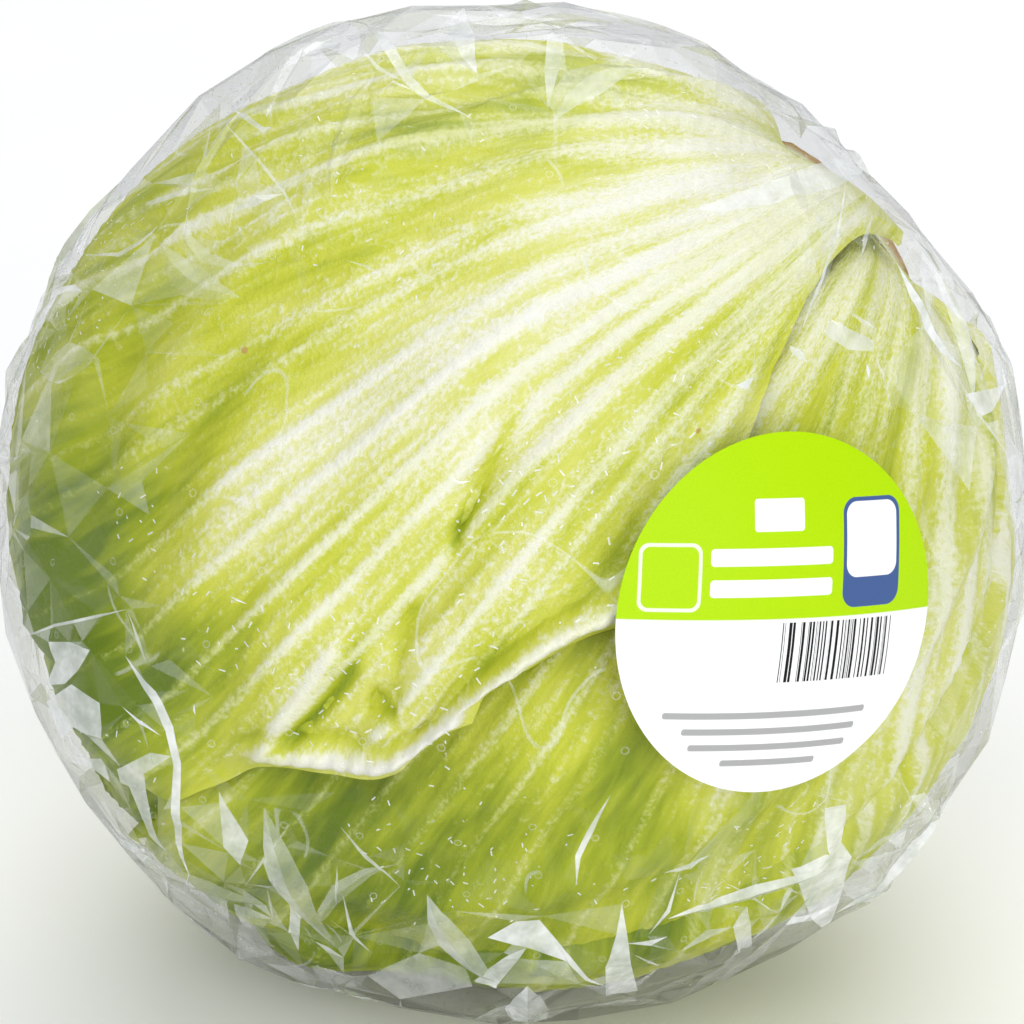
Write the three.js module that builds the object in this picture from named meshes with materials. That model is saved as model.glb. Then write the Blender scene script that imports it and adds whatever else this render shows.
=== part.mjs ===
// An iceberg lettuce in its clear film wrap, with a round paper label on the film.
// Millimetres, +Z up. The head lies on its side on a small flat spot at the origin,
// with its cut stem up, to the right (+X) and to the back (+Y).
import * as THREE from "three";
import { ConvexGeometry } from "three/addons/geometries/ConvexGeometry.js";
import { mergeVertices } from "three/addons/utils/BufferGeometryUtils.js";

// Driving sizes
const HEAD_RADIUS = 71.6; // mean radius of the head of leaves, without its ribs
const HEAD_STRETCH = 0.045; // share by which the head is longer along its long direction
const CENTRE_HEIGHT = 70; // centre of the head above the surface it lies on
const REST_CLEARANCE = 3.4; // from that surface up to the lowest leaf, without its ribs
const STEM_DENT = 3.0; // how far the base of the head is sunk in round the stem
const STEM_HOLLOW = 7; // depth of the hollow in the ball of inner leaves that the butt sits in
const STEM_RADIUS = 15; // radius of the cut butt
const STEM_TOP = 67.5; // distance from the head's centre to the cut
const LEAF_THICKNESS = 0.9; // the blade between its ribs, with its blisters
const LEAF_GAP = 0.85; // air between one leaf and the next
const RIB_DEPTH = 1.0; // height of the ribs that fan out over a leaf
const RIBS_A_SIDE = 4; // how many such ribs to either side of the middle one
const MIDRIB_DEPTH = 1.5; // extra thickness along the middle of a leaf at its foot
const LEAF_FOOT = 1; // extra thickness of the whole foot
const HEART_FOLDS = 5; // leaf edges that show on the ball of inner leaves
const LEAF_START = 14.3; // degrees from the stem's axis to the foot of a leaf
const FILM_RADIUS = 75; // distance of the loose film from the head's centre
const FILM_THICKNESS = 0.6; // the film with the air under its creases
const FILM_GAP = 0.9; // air between the film and the leaves where it is tight
const FILM_CREASE = 1.3; // how far the corners of the loose film stand in and out
const FILM_POINTS = 540; // corners of the film's facets
const FILM_TIGHT = 28; // degrees from the front within which the film is tight
const FILM_LOOSE = 62; // degrees from the front beyond which it is loose
const LABEL_RADIUS = 25.8;
const LABEL_MARGIN = 3; // how far the even film under the label reaches past it
const LABEL_THICKNESS = 0.5;
const LABEL_LIFT = 0.4; // air between the label and the film
const REST_ANGLE = 16; // degrees from straight down to the rim of the flat spot

// Directions, as unit vectors
const STEM_AXIS = new THREE.Vector3(0.735, 0.4148, 0.5348).normalize();
const LONG_AXIS = new THREE.Vector3(-0.985, 0.07, 0.15).normalize();
const FRONT = new THREE.Vector3(0, -0.9063, 0.4226).normalize(); // the side with the film pulled tight
const LABEL_AXIS = new THREE.Vector3(0.495, -0.849, 0.186).normalize();
const GATHER_AXIS = new THREE.Vector3(0.05, 0.98, -0.15).normalize(); // where the film is gathered

// Where the loose film stands further out or is drawn in: how far in mm, and over how many degrees
const FILM_SWELLS = [
  { towards: STEM_AXIS, height: -2.6, width: 38 },
  { towards: new THREE.Vector3(0.84, -0.24, -0.48).normalize(), height: 2.4, width: 24 },
  { towards: new THREE.Vector3(-0.5, 0.37, 0.78).normalize(), height: 1.8, width: 14 },
  { towards: new THREE.Vector3(-0.94, 0.14, -0.3).normalize(), height: 0.8, width: 20 },
];

// The gather: rings of pleats round the mouth, then the tuft of film that stands out of it
const PLEATS = 12;
const PLEAT_RINGS = [5, 9, 14.5, 21, 29]; // degrees from the gather's axis
const PLEAT_DEPTH = [0.5, 1.2, 1.5, 1.1, 0.5]; // mm in and out, ring by ring
const GATHER_REACH = 33; // degrees from the gather's axis to the nearest loose corner
const TUFT = [
  { radius: 6.2, height: 2.2, ruffle: 0.6 },
  { radius: 8.5, height: 5.4, ruffle: 1.6 },
];

// How the corners of the film's facets are spread
const CORNER_JITTER = 0.075; // unevenness of the loose corners, as a share of the film's radius
const CORNER_CLEARANCE = 4; // degrees from the flat spot or the label's film to the nearest of them
const REST_RIM = 16; // corners round the flat spot
const REST_INSIDE = 7; // corners on it, in one ring

// The wrapper leaves, from the innermost out, in degrees. middle says which way round the stem a leaf
// goes, tip how far along that way it ends, as seen from the head's centre, and corner how much
// earlier its sides end. halfWidth is its reach to either side where it is widest, lift how far its
// edge stands off in mm, and waves the number of waves round the edge, which seed shifts.
const LEAVES = [
  {
    name: "inner_leaf_1",
    middle: -112,
    halfWidth: 66,
    tip: 196,
    corner: 26,
    lift: 0.3,
    waves: 5,
    seed: 1.7,
    columns: 16,
    rows: 16,
    lip: false,
  },
  {
    name: "inner_leaf_2",
    middle: 132,
    halfWidth: 66,
    tip: 192,
    corner: 26,
    lift: 0.3,
    waves: 6,
    seed: 4.1,
    columns: 16,
    rows: 16,
    lip: false,
  },
  {
    name: "inner_leaf_3",
    middle: 8,
    halfWidth: 66,
    tip: 190,
    corner: 26,
    lift: 0.3,
    waves: 5,
    seed: 2.9,
    columns: 16,
    rows: 16,
    lip: false,
  },
  {
    name: "back_leaf",
    middle: -144,
    halfWidth: 66,
    tip: 186,
    corner: 28,
    lift: 0.9,
    waves: 7,
    seed: 5.3,
    columns: 22,
    rows: 18,
    lip: false,
  },
  {
    name: "lower_leaf",
    middle: 50,
    halfWidth: 66,
    tip: 182,
    corner: 26,
    lift: 0.6,
    waves: 6,
    seed: 0.4,
    columns: 24,
    rows: 18,
    lip: false,
  },
  {
    name: "right_leaf",
    middle: 126,
    halfWidth: 63,
    tip: 164,
    corner: 28,
    lift: 0.8,
    waves: 7,
    seed: 3.3,
    columns: 22,
    rows: 17,
    lip: false,
  },
  {
    name: "front_leaf",
    middle: -46,
    halfWidth: 64,
    tip: 165,
    corner: 24,
    lift: 0.8,
    waves: 6,
    seed: 6.1,
    columns: 32,
    rows: 20,
    lip: true,
  },
];

// The rolled lip of the front leaf: it follows the leaf's lower edge from an angle from the stem, as far
// as an angle round the stem to its left, and a crease that drifts to the right sets it off.
const LIP = {
  from: 84,
  left: -14,
  height: 2.6,
  width: 9,
  creaseStart: -10.5,
  creaseDrift: 0.37,
  creaseDepth: 2.2,
  swell: 24,
};

const DEG = Math.PI / 180;
const centre = new THREE.Vector3(0, 0, CENTRE_HEIGHT);

// A turned frame for the plant: local +Z along the stem, local +X towards the front
const plantX = FRONT.clone().addScaledVector(STEM_AXIS, -FRONT.dot(STEM_AXIS)).normalize();
const plantY = STEM_AXIS.clone().cross(plantX);
const plantMatrix = new THREE.Matrix4().makeBasis(plantX, plantY, STEM_AXIS);

function smoothstep(low, high, x) {
  const t = Math.min(1, Math.max(0, (x - low) / (high - low)));
  return t * t * (3 - 2 * t);
}

function bell(x, width) {
  return Math.exp(-((x / width) ** 2));
}

// Local direction at an angle theta from the stem's axis and phi round it, in radians
function plantDirection(theta, phi) {
  return new THREE.Vector3(
    Math.sin(theta) * Math.cos(phi),
    Math.sin(theta) * Math.sin(phi),
    Math.cos(theta),
  );
}

// Soft lumps, a sum of three plane waves
function lumps(d, pitch, seed) {
  const a = Math.sin((1.9 * d.x + 0.7 * d.y - 0.4 * d.z) * pitch + seed);
  const b = Math.sin((-0.5 * d.x + 1.6 * d.y + 0.9 * d.z) * pitch + 2.3 * seed);
  const c = Math.sin((0.8 * d.x - 0.6 * d.y + 1.7 * d.z) * pitch + 3.1 * seed);
  return (a + b + c) / 3;
}

// Radius of the head's own shape for a mean radius, along the world direction d: a ball that is a
// little long, sunk in at the stem and pressed flat where it lies.
function headRadius(d, mean) {
  const along = d.dot(LONG_AXIS);
  const fromStem = Math.acos(Math.min(1, Math.max(-1, d.dot(STEM_AXIS)))) / DEG;
  let r = mean * (1 + HEAD_STRETCH * (1.5 * along * along - 0.5));
  r -= STEM_DENT * bell(fromStem, 32);
  r += 0.7 * lumps(d, 3.1, 1.3);
  return r;
}

// The furthest that anything may reach along d without coming nearer than clearance to the surface
function floorRadius(d, clearance) {
  return d.z < -0.05 ? (CENTRE_HEIGHT - clearance) / -d.z : Infinity;
}

// A map of radius over all directions from the centre, on a grid of angles in the plant's frame
const GRID = 2 * DEG;
const GRID_ROWS = 90;
const GRID_COLUMNS = 180;

class RadiusMap {
  constructor(radiusOf) {
    this.values = new Float64Array(GRID_ROWS * GRID_COLUMNS);
    for (let i = 0; i < GRID_ROWS; i++)
      for (let j = 0; j < GRID_COLUMNS; j++)
        this.values[i * GRID_COLUMNS + j] = radiusOf((i + 0.5) * GRID, (j + 0.5) * GRID);
  }

  raise(theta, phi, radius) {
    const i = Math.min(GRID_ROWS - 1, Math.floor(theta / GRID));
    const j = Math.floor((((phi / GRID) % GRID_COLUMNS) + GRID_COLUMNS) % GRID_COLUMNS);
    const at = i * GRID_COLUMNS + j;
    this.values[at] = Math.max(this.values[at], radius);
  }

  // The value at each cell is worked out from the cells within reach cells of it
  spread(reach, start, add, end) {
    const out = new Float64Array(this.values.length);
    for (let i = 0; i < GRID_ROWS; i++)
      for (let j = 0; j < GRID_COLUMNS; j++) {
        let state = start;
        for (let di = -reach; di <= reach; di++) {
          const row = i + di;
          if (row < 0 || row >= GRID_ROWS) continue;
          const wide = reach / Math.max(0.08, Math.sin((row + 0.5) * GRID));
          const span = Math.min(GRID_COLUMNS / 2, Math.ceil(wide));
          for (let dj = -span; dj <= span; dj++) {
            const distance = Math.hypot(di / reach, dj / wide);
            if (distance > 1) continue;
            const column = (j + dj + GRID_COLUMNS) % GRID_COLUMNS;
            state = add(state, this.values[row * GRID_COLUMNS + column], distance);
          }
        }
        out[i * GRID_COLUMNS + j] = end(state);
      }
    this.values = out;
    return this;
  }

  // A smooth cover that is nowhere under the map
  cover(reach) {
    const copy = new RadiusMap(() => 0);
    copy.values = this.values;
    copy.spread(reach, 0, (most, v) => Math.max(most, v), (most) => most);
    return copy.spread(
      reach,
      [0, 0],
      ([sum, weight], v, distance) => {
        const w = bell(distance, 0.6);
        return [sum + w * v, weight + w];
      },
      ([sum, weight]) => sum / weight,
    );
  }

  at(theta, phi) {
    const y = Math.min(GRID_ROWS - 1, Math.max(0, theta / GRID - 0.5));
    const x = (((phi / GRID - 0.5) % GRID_COLUMNS) + GRID_COLUMNS) % GRID_COLUMNS;
    const i = Math.min(GRID_ROWS - 2, Math.floor(y));
    const j = Math.floor(x);
    const value = (row, column) => this.values[row * GRID_COLUMNS + (column % GRID_COLUMNS)];
    const near = value(i, j) * (1 - (x - j)) + value(i, j + 1) * (x - j);
    const far = value(i + 1, j) * (1 - (x - j)) + value(i + 1, j + 1) * (x - j);
    return near * (1 - (y - i)) + far * (y - i);
  }
}

// Share of a leaf's greatest width that it has at v
function leafWidth(v) {
  return 0.38 + 0.62 * smoothstep(0, 0.52, v) - 0.12 * smoothstep(0.62, 1, v);
}

// Where a leaf has its point (u, v): u runs from its left edge, -1, to its right, 1, and v from its
// foot, 0, to its tip, 1. The edge is wavy, and the leaf is narrower at its foot.
function leafAngles(leaf, u, v) {
  const sideWave = 1 + 0.03 * Math.sin(leaf.waves * 2.1 * v + leaf.seed) * Math.abs(u) ** 3;
  const across = u * leaf.halfWidth * leafWidth(v) * sideWave * DEG;
  const tipWave = 2.2 * Math.sin(leaf.waves * u * 1.7 + leaf.seed);
  const end = leaf.tip - leaf.corner * u * u + tipWave;
  const along = (LEAF_START + v * (end - LEAF_START)) * DEG;
  const turn = Math.atan2(Math.sin(across), Math.cos(across) * Math.sin(along));
  return { theta: Math.acos(Math.cos(across) * Math.cos(along)), phi: turn + leaf.middle * DEG };
}

// How near (u, v) is to the leaf's edge, in mm measured over the head
function edgeDistance(leaf, u, v) {
  const side = (1 - Math.abs(u)) * leaf.halfWidth * DEG * HEAD_RADIUS;
  const end = (1 - v) * (leaf.tip - LEAF_START) * DEG * HEAD_RADIUS;
  return Math.min(side, end);
}

// How far the front leaf's lower edge rolls over, and the swollen sides of the crease behind it
function lipHeight(leaf, u, v, theta, phi) {
  const turn = theta / DEG;
  const round = Math.atan2(Math.sin(phi), Math.cos(phi)) / DEG;
  const along = smoothstep(LIP.from, LIP.from + 22, turn) * smoothstep(LIP.left, LIP.left + 14, round);
  const fromEdge = edgeDistance(leaf, Math.max(0, u), v);
  const ridge = LIP.height * bell(fromEdge - 0.45 * LIP.width, 0.5 * LIP.width);
  const creaseLine = LIP.creaseStart + LIP.creaseDrift * (turn - 81); // degrees round the stem
  const fromCrease = (round - creaseLine) * DEG * Math.sin(theta) * HEAD_RADIUS;
  const creaseAlong = smoothstep(58, 80, turn) * smoothstep(140, 122, turn);
  const swell = bell(fromCrease, LIP.swell) - bell(fromCrease, 3.5);
  return along * ridge + LIP.creaseDepth * creaseAlong * Math.max(0, swell);
}

// Height of the inner face over what the leaf lies on, and the leaf's thickness
function leafProfile(leaf, u, v, theta, phi) {
  const edge = edgeDistance(leaf, u, v);
  const inside = smoothstep(0, 14, edge) * smoothstep(0.02, 0.2, v);
  const ribs = RIB_DEPTH * inside * 0.5 * (1 + Math.cos(u * RIBS_A_SIDE * 2 * Math.PI));
  const wave = 0.5 + 0.5 * Math.sin(leaf.waves * (2.4 * u + 3.1 * v) + leaf.seed * 2);
  const lift = leaf.lift * bell(edge, 9) * wave;
  const fromMiddle = u * leaf.halfWidth * DEG * HEAD_RADIUS;
  const midrib = MIDRIB_DEPTH * bell(fromMiddle, 5) * (1 - v) ** 0.8;
  const foot = LEAF_FOOT * (1 - smoothstep(0, 0.12, v));
  return {
    rise: ribs + lift + (leaf.lip ? lipHeight(leaf, u, v, theta, phi) : 0),
    thickness: LEAF_THICKNESS + midrib + foot,
  };
}

function geometryOf(positions, faces) {
  const geometry = new THREE.BufferGeometry();
  geometry.setAttribute("position", new THREE.Float32BufferAttribute(positions.flat(), 3));
  geometry.setIndex(faces.flat());
  geometry.computeVertexNormals();
  return geometry;
}

// A closed shell between two grids of points with the same rows and columns, joined round its rim
function shellGeometry(outer, inner, rows, columns) {
  const positions = [...outer, ...inner];
  const offset = outer.length;
  const at = (i, j) => i * (columns + 1) + j;
  const faces = [];
  for (let i = 0; i < rows; i++)
    for (let j = 0; j < columns; j++) {
      const [a, b, c, d] = [at(i, j), at(i, j + 1), at(i + 1, j + 1), at(i + 1, j)];
      faces.push([a, d, c], [a, c, b]);
      faces.push([a + offset, c + offset, d + offset], [a + offset, b + offset, c + offset]);
    }
  const rim = [];
  for (let j = 0; j < columns; j++) rim.push([at(0, j), at(0, j + 1)]);
  for (let i = 0; i < rows; i++) rim.push([at(i, columns), at(i + 1, columns)]);
  for (let j = columns; j > 0; j--) rim.push([at(rows, j), at(rows, j - 1)]);
  for (let i = rows; i > 0; i--) rim.push([at(i, 0), at(i - 1, 0)]);
  for (const [a, b] of rim) faces.push([a, b, b + offset], [a, b + offset, a + offset]);
  return geometryOf(positions, faces);
}

function worldDirection(theta, phi) {
  return plantDirection(theta, phi).applyMatrix4(plantMatrix);
}

// Radius of a leaf's two faces at (u, v), over the map of what lies under it
function leafRadii(leaf, under, u, v) {
  const { theta, phi } = leafAngles(leaf, u, v);
  const profile = leafProfile(leaf, u, v, theta, phi);
  const inner = under.at(theta, phi) + LEAF_GAP + profile.rise;
  return { theta, phi, inner, outer: inner + profile.thickness };
}

function leafGeometry(leaf, under) {
  const outer = [];
  const inner = [];
  for (let i = 0; i <= leaf.rows; i++)
    for (let j = 0; j <= leaf.columns; j++) {
      const point = leafRadii(leaf, under, (2 * j) / leaf.columns - 1, i / leaf.rows);
      const d = plantDirection(point.theta, point.phi);
      outer.push(d.clone().multiplyScalar(point.outer).toArray());
      inner.push(d.clone().multiplyScalar(point.inner).toArray());
    }
  return shellGeometry(outer, inner, leaf.rows, leaf.columns);
}

// Adds a leaf's outer face to the map of what lies under the next one
function raiseByLeaf(map, leaf, under) {
  const steps = 150;
  for (let i = 0; i <= steps; i++)
    for (let j = 0; j <= steps; j++) {
      const point = leafRadii(leaf, under, (2 * j) / steps - 1, i / steps);
      map.raise(point.theta, point.phi, point.outer);
    }
}

// The tight ball of inner leaves: what the wrapper leaves leave of the head, with the edges of its own
// leaves folded over each other
function heartRelief(turn, phi) {
  let relief = -STEM_HOLLOW * smoothstep(26, 12.5, turn);
  for (let k = 0; k < HEART_FOLDS; k++) {
    const from = phi - (k * 720 * DEG) / HEART_FOLDS;
    const side = Math.atan2(Math.sin(from), Math.cos(from)) / DEG;
    const reach = 150 - 0.9 * Math.abs(side) + 4 * Math.sin(side / 9 + k);
    relief -= 0.45 * smoothstep(reach - 3, reach + 5, turn) * smoothstep(92, 80, Math.abs(side));
  }
  return relief;
}

function targetRadius(theta, phi) {
  const d = worldDirection(theta, phi);
  return Math.min(headRadius(d, HEAD_RADIUS), floorRadius(d, REST_CLEARANCE));
}

// Lays the leaves over a heart, each on a smooth cover of all that is under it
function stackLeaves(heart, leaves) {
  const built = new RadiusMap((theta, phi) => heart(theta, phi));
  const unders = leaves.map((leaf) => {
    const under = built.cover(3);
    raiseByLeaf(built, leaf, under);
    return under;
  });
  return { unders, cover: built.cover(4) };
}

const TRIAL_DEPTH = 8; // how much smaller than the head the trial heart is

// A first stack over a small heart shows how much of the radius the leaves take up, and the heart
// is what they leave of the head.
const flatLeaves = LEAVES.map((leaf) => ({ ...leaf, lip: false }));
const trial = stackLeaves((theta, phi) => targetRadius(theta, phi) - TRIAL_DEPTH, flatLeaves);
const heartMap = new RadiusMap(
  (theta, phi) => 2 * targetRadius(theta, phi) - TRIAL_DEPTH - trial.cover.at(theta, phi),
);

function heartRadius(theta, phi) {
  return heartMap.at(theta, phi) + heartRelief(theta / DEG, phi);
}

const stack = stackLeaves(heartRadius, LEAVES);

function heartGeometry() {
  const rows = 15;
  const columns = 28;
  const positions = [];
  const faces = [];
  const push = (theta, phi) =>
    positions.push(plantDirection(theta, phi).multiplyScalar(heartRadius(theta, phi)).toArray());
  push(0, 0);
  for (let i = 1; i < rows; i++)
    for (let j = 0; j < columns; j++) push((i * Math.PI) / rows, (j * 2 * Math.PI) / columns);
  push(Math.PI, 0);
  const last = positions.length - 1;
  const at = (i, j) => 1 + (i - 1) * columns + (j % columns);
  for (let j = 0; j < columns; j++) {
    faces.push([0, at(1, j), at(1, j + 1)]);
    faces.push([last, at(rows - 1, j + 1), at(rows - 1, j)]);
    for (let i = 1; i < rows - 1; i++) {
      faces.push([at(i, j), at(i + 1, j), at(i + 1, j + 1)]);
      faces.push([at(i, j), at(i + 1, j + 1), at(i, j + 1)]);
    }
  }
  return geometryOf(positions, faces);
}

// The cut butt: a short stub with a rounded rim and a slightly hollow cut
function stemGeometry() {
  const foot = heartRadius(0, 0) + 0.6;
  const outline = [
    [0, foot],
    [STEM_RADIUS * 0.62, foot],
    [STEM_RADIUS * 0.86, foot + 3],
    [STEM_RADIUS, STEM_TOP - 2.2],
    [STEM_RADIUS * 0.97, STEM_TOP - 0.6],
    [STEM_RADIUS * 0.88, STEM_TOP],
    [STEM_RADIUS * 0.45, STEM_TOP - 0.5],
    [0, STEM_TOP - 0.9],
  ];
  const geometry = new THREE.LatheGeometry(outline.map(([x, y]) => new THREE.Vector2(x, y)), 18);
  geometry.deleteAttribute("normal");
  geometry.deleteAttribute("uv");
  geometry.rotateX(Math.PI / 2); // the lathe's +Y becomes the stem's +Z
  const merged = mergeVertices(geometry, 1e-3);
  merged.computeVertexNormals();
  return merged;
}

// Two unit vectors square to an axis, the first of them level
function acrossOf(axis) {
  const level = new THREE.Vector3(-axis.y, axis.x, 0);
  const side = level.length() > 1e-6 ? level.normalize() : new THREE.Vector3(1, 0, 0);
  return [side, axis.clone().cross(side)];
}

// Direction at an angle from an axis, turned round it, both in radians
function aroundAxis(axis, angle, turn) {
  const [side, up] = acrossOf(axis);
  return axis
    .clone()
    .multiplyScalar(Math.cos(angle))
    .addScaledVector(side, Math.sin(angle) * Math.cos(turn))
    .addScaledVector(up, Math.sin(angle) * Math.sin(turn));
}

function hash(n) {
  const x = Math.sin(n * 127.1 + 11.7) * 43758.5453;
  return x - Math.floor(x);
}

// Directions of the film's corners: rings where it is gathered, labelled and pressed flat, and an
// even spread with jitter over the rest. kind says how the corner's radius is set.
function filmCorners() {
  const corners = [];
  const down = new THREE.Vector3(0, 0, -1);
  PLEAT_RINGS.forEach((angle, ring) => {
    for (let k = 0; k < 2 * PLEATS; k++) {
      const d = aroundAxis(GATHER_AXIS, angle * DEG, (k * Math.PI) / PLEATS);
      corners.push({ d, kind: "pleat", shift: (k % 2 ? -1 : 1) * PLEAT_DEPTH[ring], ring });
    }
  });
  const labelAngle = (LABEL_RADIUS + LABEL_MARGIN) / FILM_RADIUS / DEG;
  [0, 7, 14, labelAngle].forEach((angle, ring) => {
    for (let k = 0; k < Math.max(1, 6 * ring); k++) {
      const d = aroundAxis(LABEL_AXIS, angle * DEG, (k * Math.PI) / Math.max(1, 3 * ring));
      corners.push({ d, kind: "label", shift: 0 });
    }
  });
  for (const [count, share] of [[REST_INSIDE, 0.5], [REST_RIM, 1]])
    for (let k = 0; k < count; k++) {
      const d = aroundAxis(down, share * REST_ANGLE * DEG, (k * 2 * Math.PI) / count);
      corners.push({ d, kind: "rest", shift: 0 });
    }
  const golden = Math.PI * (3 - Math.sqrt(5));
  for (let n = 0; n < FILM_POINTS; n++) {
    const z = 1 - (2 * n + 1) / FILM_POINTS;
    const turn = n * golden;
    const r = Math.sqrt(1 - z * z);
    const d = new THREE.Vector3(r * Math.cos(turn), r * Math.sin(turn), z);
    d.x += CORNER_JITTER * (hash(3 * n) - 0.5);
    d.y += CORNER_JITTER * (hash(3 * n + 1) - 0.5);
    d.z += CORNER_JITTER * (hash(3 * n + 2) - 0.5);
    d.normalize();
    const clear =
      d.angleTo(GATHER_AXIS) > GATHER_REACH * DEG &&
      d.angleTo(LABEL_AXIS) > (labelAngle + CORNER_CLEARANCE) * DEG &&
      d.angleTo(down) > (REST_ANGLE + CORNER_CLEARANCE) * DEG;
    if (clear) corners.push({ d, kind: "loose", shift: FILM_CREASE * (2 * hash(n + 0.5) - 1) });
  }
  return corners;
}

// The least radius of the film's outer face along d, over the cover of everything inside it
function leastFilmRadius(d, cover) {
  const local = d.clone().applyMatrix4(plantMatrix.clone().transpose());
  const theta = Math.acos(Math.min(1, Math.max(-1, local.z)));
  return cover.at(theta, Math.atan2(local.y, local.x)) + FILM_GAP + FILM_THICKNESS;
}

// Radius of the film's outer face at a corner: tight at the front, and loose and creased elsewhere
function filmRadius({ d, kind, shift }, cover) {
  const least = leastFilmRadius(d, cover);
  const loose = smoothstep(FILM_TIGHT, FILM_LOOSE, d.angleTo(FRONT) / DEG);
  let free = FILM_RADIUS;
  for (const { towards, height, width } of FILM_SWELLS) {
    free += height * bell(d.angleTo(towards) / DEG, width);
  }
  const crease = shift * (kind === "loose" ? 0.35 + 0.65 * loose : 1);
  const r = Math.max(least, free * loose + least * (1 - loose) + crease);
  return Math.min(r, floorRadius(d, 0));
}

// Under the label the film is an even cap, as far out as the leaves under it need
function labelCapRadius(cover) {
  let most = 0;
  for (let ring = 0; ring <= 10; ring++)
    for (let k = 0; k < 36; k++) {
      const angle = (ring / 10) * ((LABEL_RADIUS + LABEL_MARGIN) / FILM_RADIUS);
      most = Math.max(most, leastFilmRadius(aroundAxis(LABEL_AXIS, angle, k * 10 * DEG), cover));
    }
  return most;
}

function filmGeometry(cover, labelCap) {
  const corners = filmCorners();
  const hull = mergeVertices(hullOf(corners), 1e-6);
  const index = hull.index.array;
  const place = hull.getAttribute("position");
  const owner = [];
  for (let i = 0; i < place.count; i++) {
    const p = new THREE.Vector3().fromBufferAttribute(place, i);
    owner.push(corners.findIndex((c) => c.d.distanceToSquared(p) < 1e-9));
  }
  const outer = corners.map((c) => {
    const r = c.kind === "label" ? labelCap : filmRadius(c, cover);
    return c.d.clone().multiplyScalar(r).add(centre);
  });
  const inner = corners.map((c, i) => {
    const wall = c.d.z < -0.9 ? FILM_THICKNESS / -c.d.z : FILM_THICKNESS;
    return outer[i].clone().addScaledVector(c.d, -wall);
  });
  const positions = [...outer, ...inner];
  const offset = outer.length;
  const faces = [];
  for (let t = 0; t < index.length; t += 3) {
    const [a, b, c] = [owner[index[t]], owner[index[t + 1]], owner[index[t + 2]]];
    if ([a, b, c].every((i) => corners[i].ring === 0)) continue; // the mouth stays open
    faces.push([a, b, c], [a + offset, c + offset, b + offset]);
  }
  addTuft(positions, faces, offset);
  return geometryOf(positions.map((p) => p.toArray()), faces);
}

function hullOf(corners) {
  const geometry = new ConvexGeometry(corners.map((c) => c.d));
  geometry.deleteAttribute("normal");
  return geometry;
}

// The tuft of gathered film round the mouth, wider outside and narrower inside by the film's wall
function addTuft(positions, faces, offset) {
  const count = 2 * PLEATS;
  const [side, up] = acrossOf(GATHER_AXIS);
  const mouth = positions[0].clone().sub(centre).dot(GATHER_AXIS);
  let outerRing = Array.from({ length: count }, (_, k) => k);
  let innerRing = outerRing.map((i) => i + offset);
  for (const { radius, height, ruffle } of TUFT) {
    const rings = [0.5, -0.5].map((share) =>
      outerRing.map((_, k) => {
        const turn = (k * Math.PI) / PLEATS;
        const reach = radius + (k % 2 ? -1 : 1) * ruffle + share * FILM_THICKNESS;
        positions.push(
          centre
            .clone()
            .addScaledVector(GATHER_AXIS, mouth + height - share * FILM_THICKNESS)
            .addScaledVector(side, reach * Math.cos(turn))
            .addScaledVector(up, reach * Math.sin(turn)),
        );
        return positions.length - 1;
      }),
    );
    joinRings(faces, outerRing, rings[0]);
    joinRings(faces, rings[1], innerRing);
    [outerRing, innerRing] = rings;
  }
  joinRings(faces, outerRing, innerRing);
}

function joinRings(faces, low, high) {
  const n = low.length;
  for (let k = 0; k < n; k++) {
    const next = (k + 1) % n;
    faces.push([low[k], low[next], high[next]], [low[k], high[next], high[k]]);
  }
}

// The label: a round sheet that follows the even cap of film under it
function labelGeometry(labelCap) {
  const rings = 4;
  const sides = 32;
  const inside = labelCap + LABEL_LIFT;
  const positions = [];
  const faces = [];
  for (const r of [inside + LABEL_THICKNESS, inside]) {
    positions.push(LABEL_AXIS.clone().multiplyScalar(r));
    for (let i = 1; i <= rings; i++)
      for (let k = 0; k < sides; k++) {
        const angle = (i / rings) * (LABEL_RADIUS / inside);
        positions.push(aroundAxis(LABEL_AXIS, angle, (k * 2 * Math.PI) / sides).multiplyScalar(r));
      }
  }
  const offset = positions.length / 2;
  const at = (i, k) => 1 + (i - 1) * sides + (k % sides);
  for (let k = 0; k < sides; k++) {
    faces.push([0, at(1, k), at(1, k + 1)], [offset, at(1, k + 1) + offset, at(1, k) + offset]);
    for (let i = 1; i < rings; i++) {
      const [a, b, c, d] = [at(i, k), at(i + 1, k), at(i + 1, k + 1), at(i, k + 1)];
      faces.push([a, b, c], [a, c, d]);
      faces.push([a + offset, c + offset, b + offset], [a + offset, d + offset, c + offset]);
    }
    const [a, b] = [at(rings, k), at(rings, k + 1)];
    faces.push([a, a + offset, b + offset], [a, b + offset, b]);
  }
  return geometryOf(positions.map((p) => p.add(centre).toArray()), faces);
}

function material(color, roughness, extra = {}) {
  return new THREE.MeshStandardMaterial({ color, roughness, metalness: 0, ...extra });
}

function addMesh(group, name, geometry, look) {
  const mesh = new THREE.Mesh(geometry, look);
  mesh.name = name;
  group.add(mesh);
}

const looks = {
  heart: material(0xe6ecb4, 0.55),
  stem: material(0xe2d6b4, 0.7),
  innerLeaf: material(0xd8e08c, 0.5),
  outerLeaf: material(0xb9c862, 0.45),
  film: material(0xf4f6f6, 0.08, { transparent: true, opacity: 0.25 }),
  label: material(0xf8f8f6, 0.4),
};

const lettuce = new THREE.Group();
const plant = new THREE.Group();
plant.position.copy(centre);
plant.quaternion.setFromRotationMatrix(plantMatrix);
lettuce.add(plant);

addMesh(plant, "inner_head", heartGeometry(), looks.heart);
addMesh(plant, "stem", stemGeometry(), looks.stem);

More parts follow.
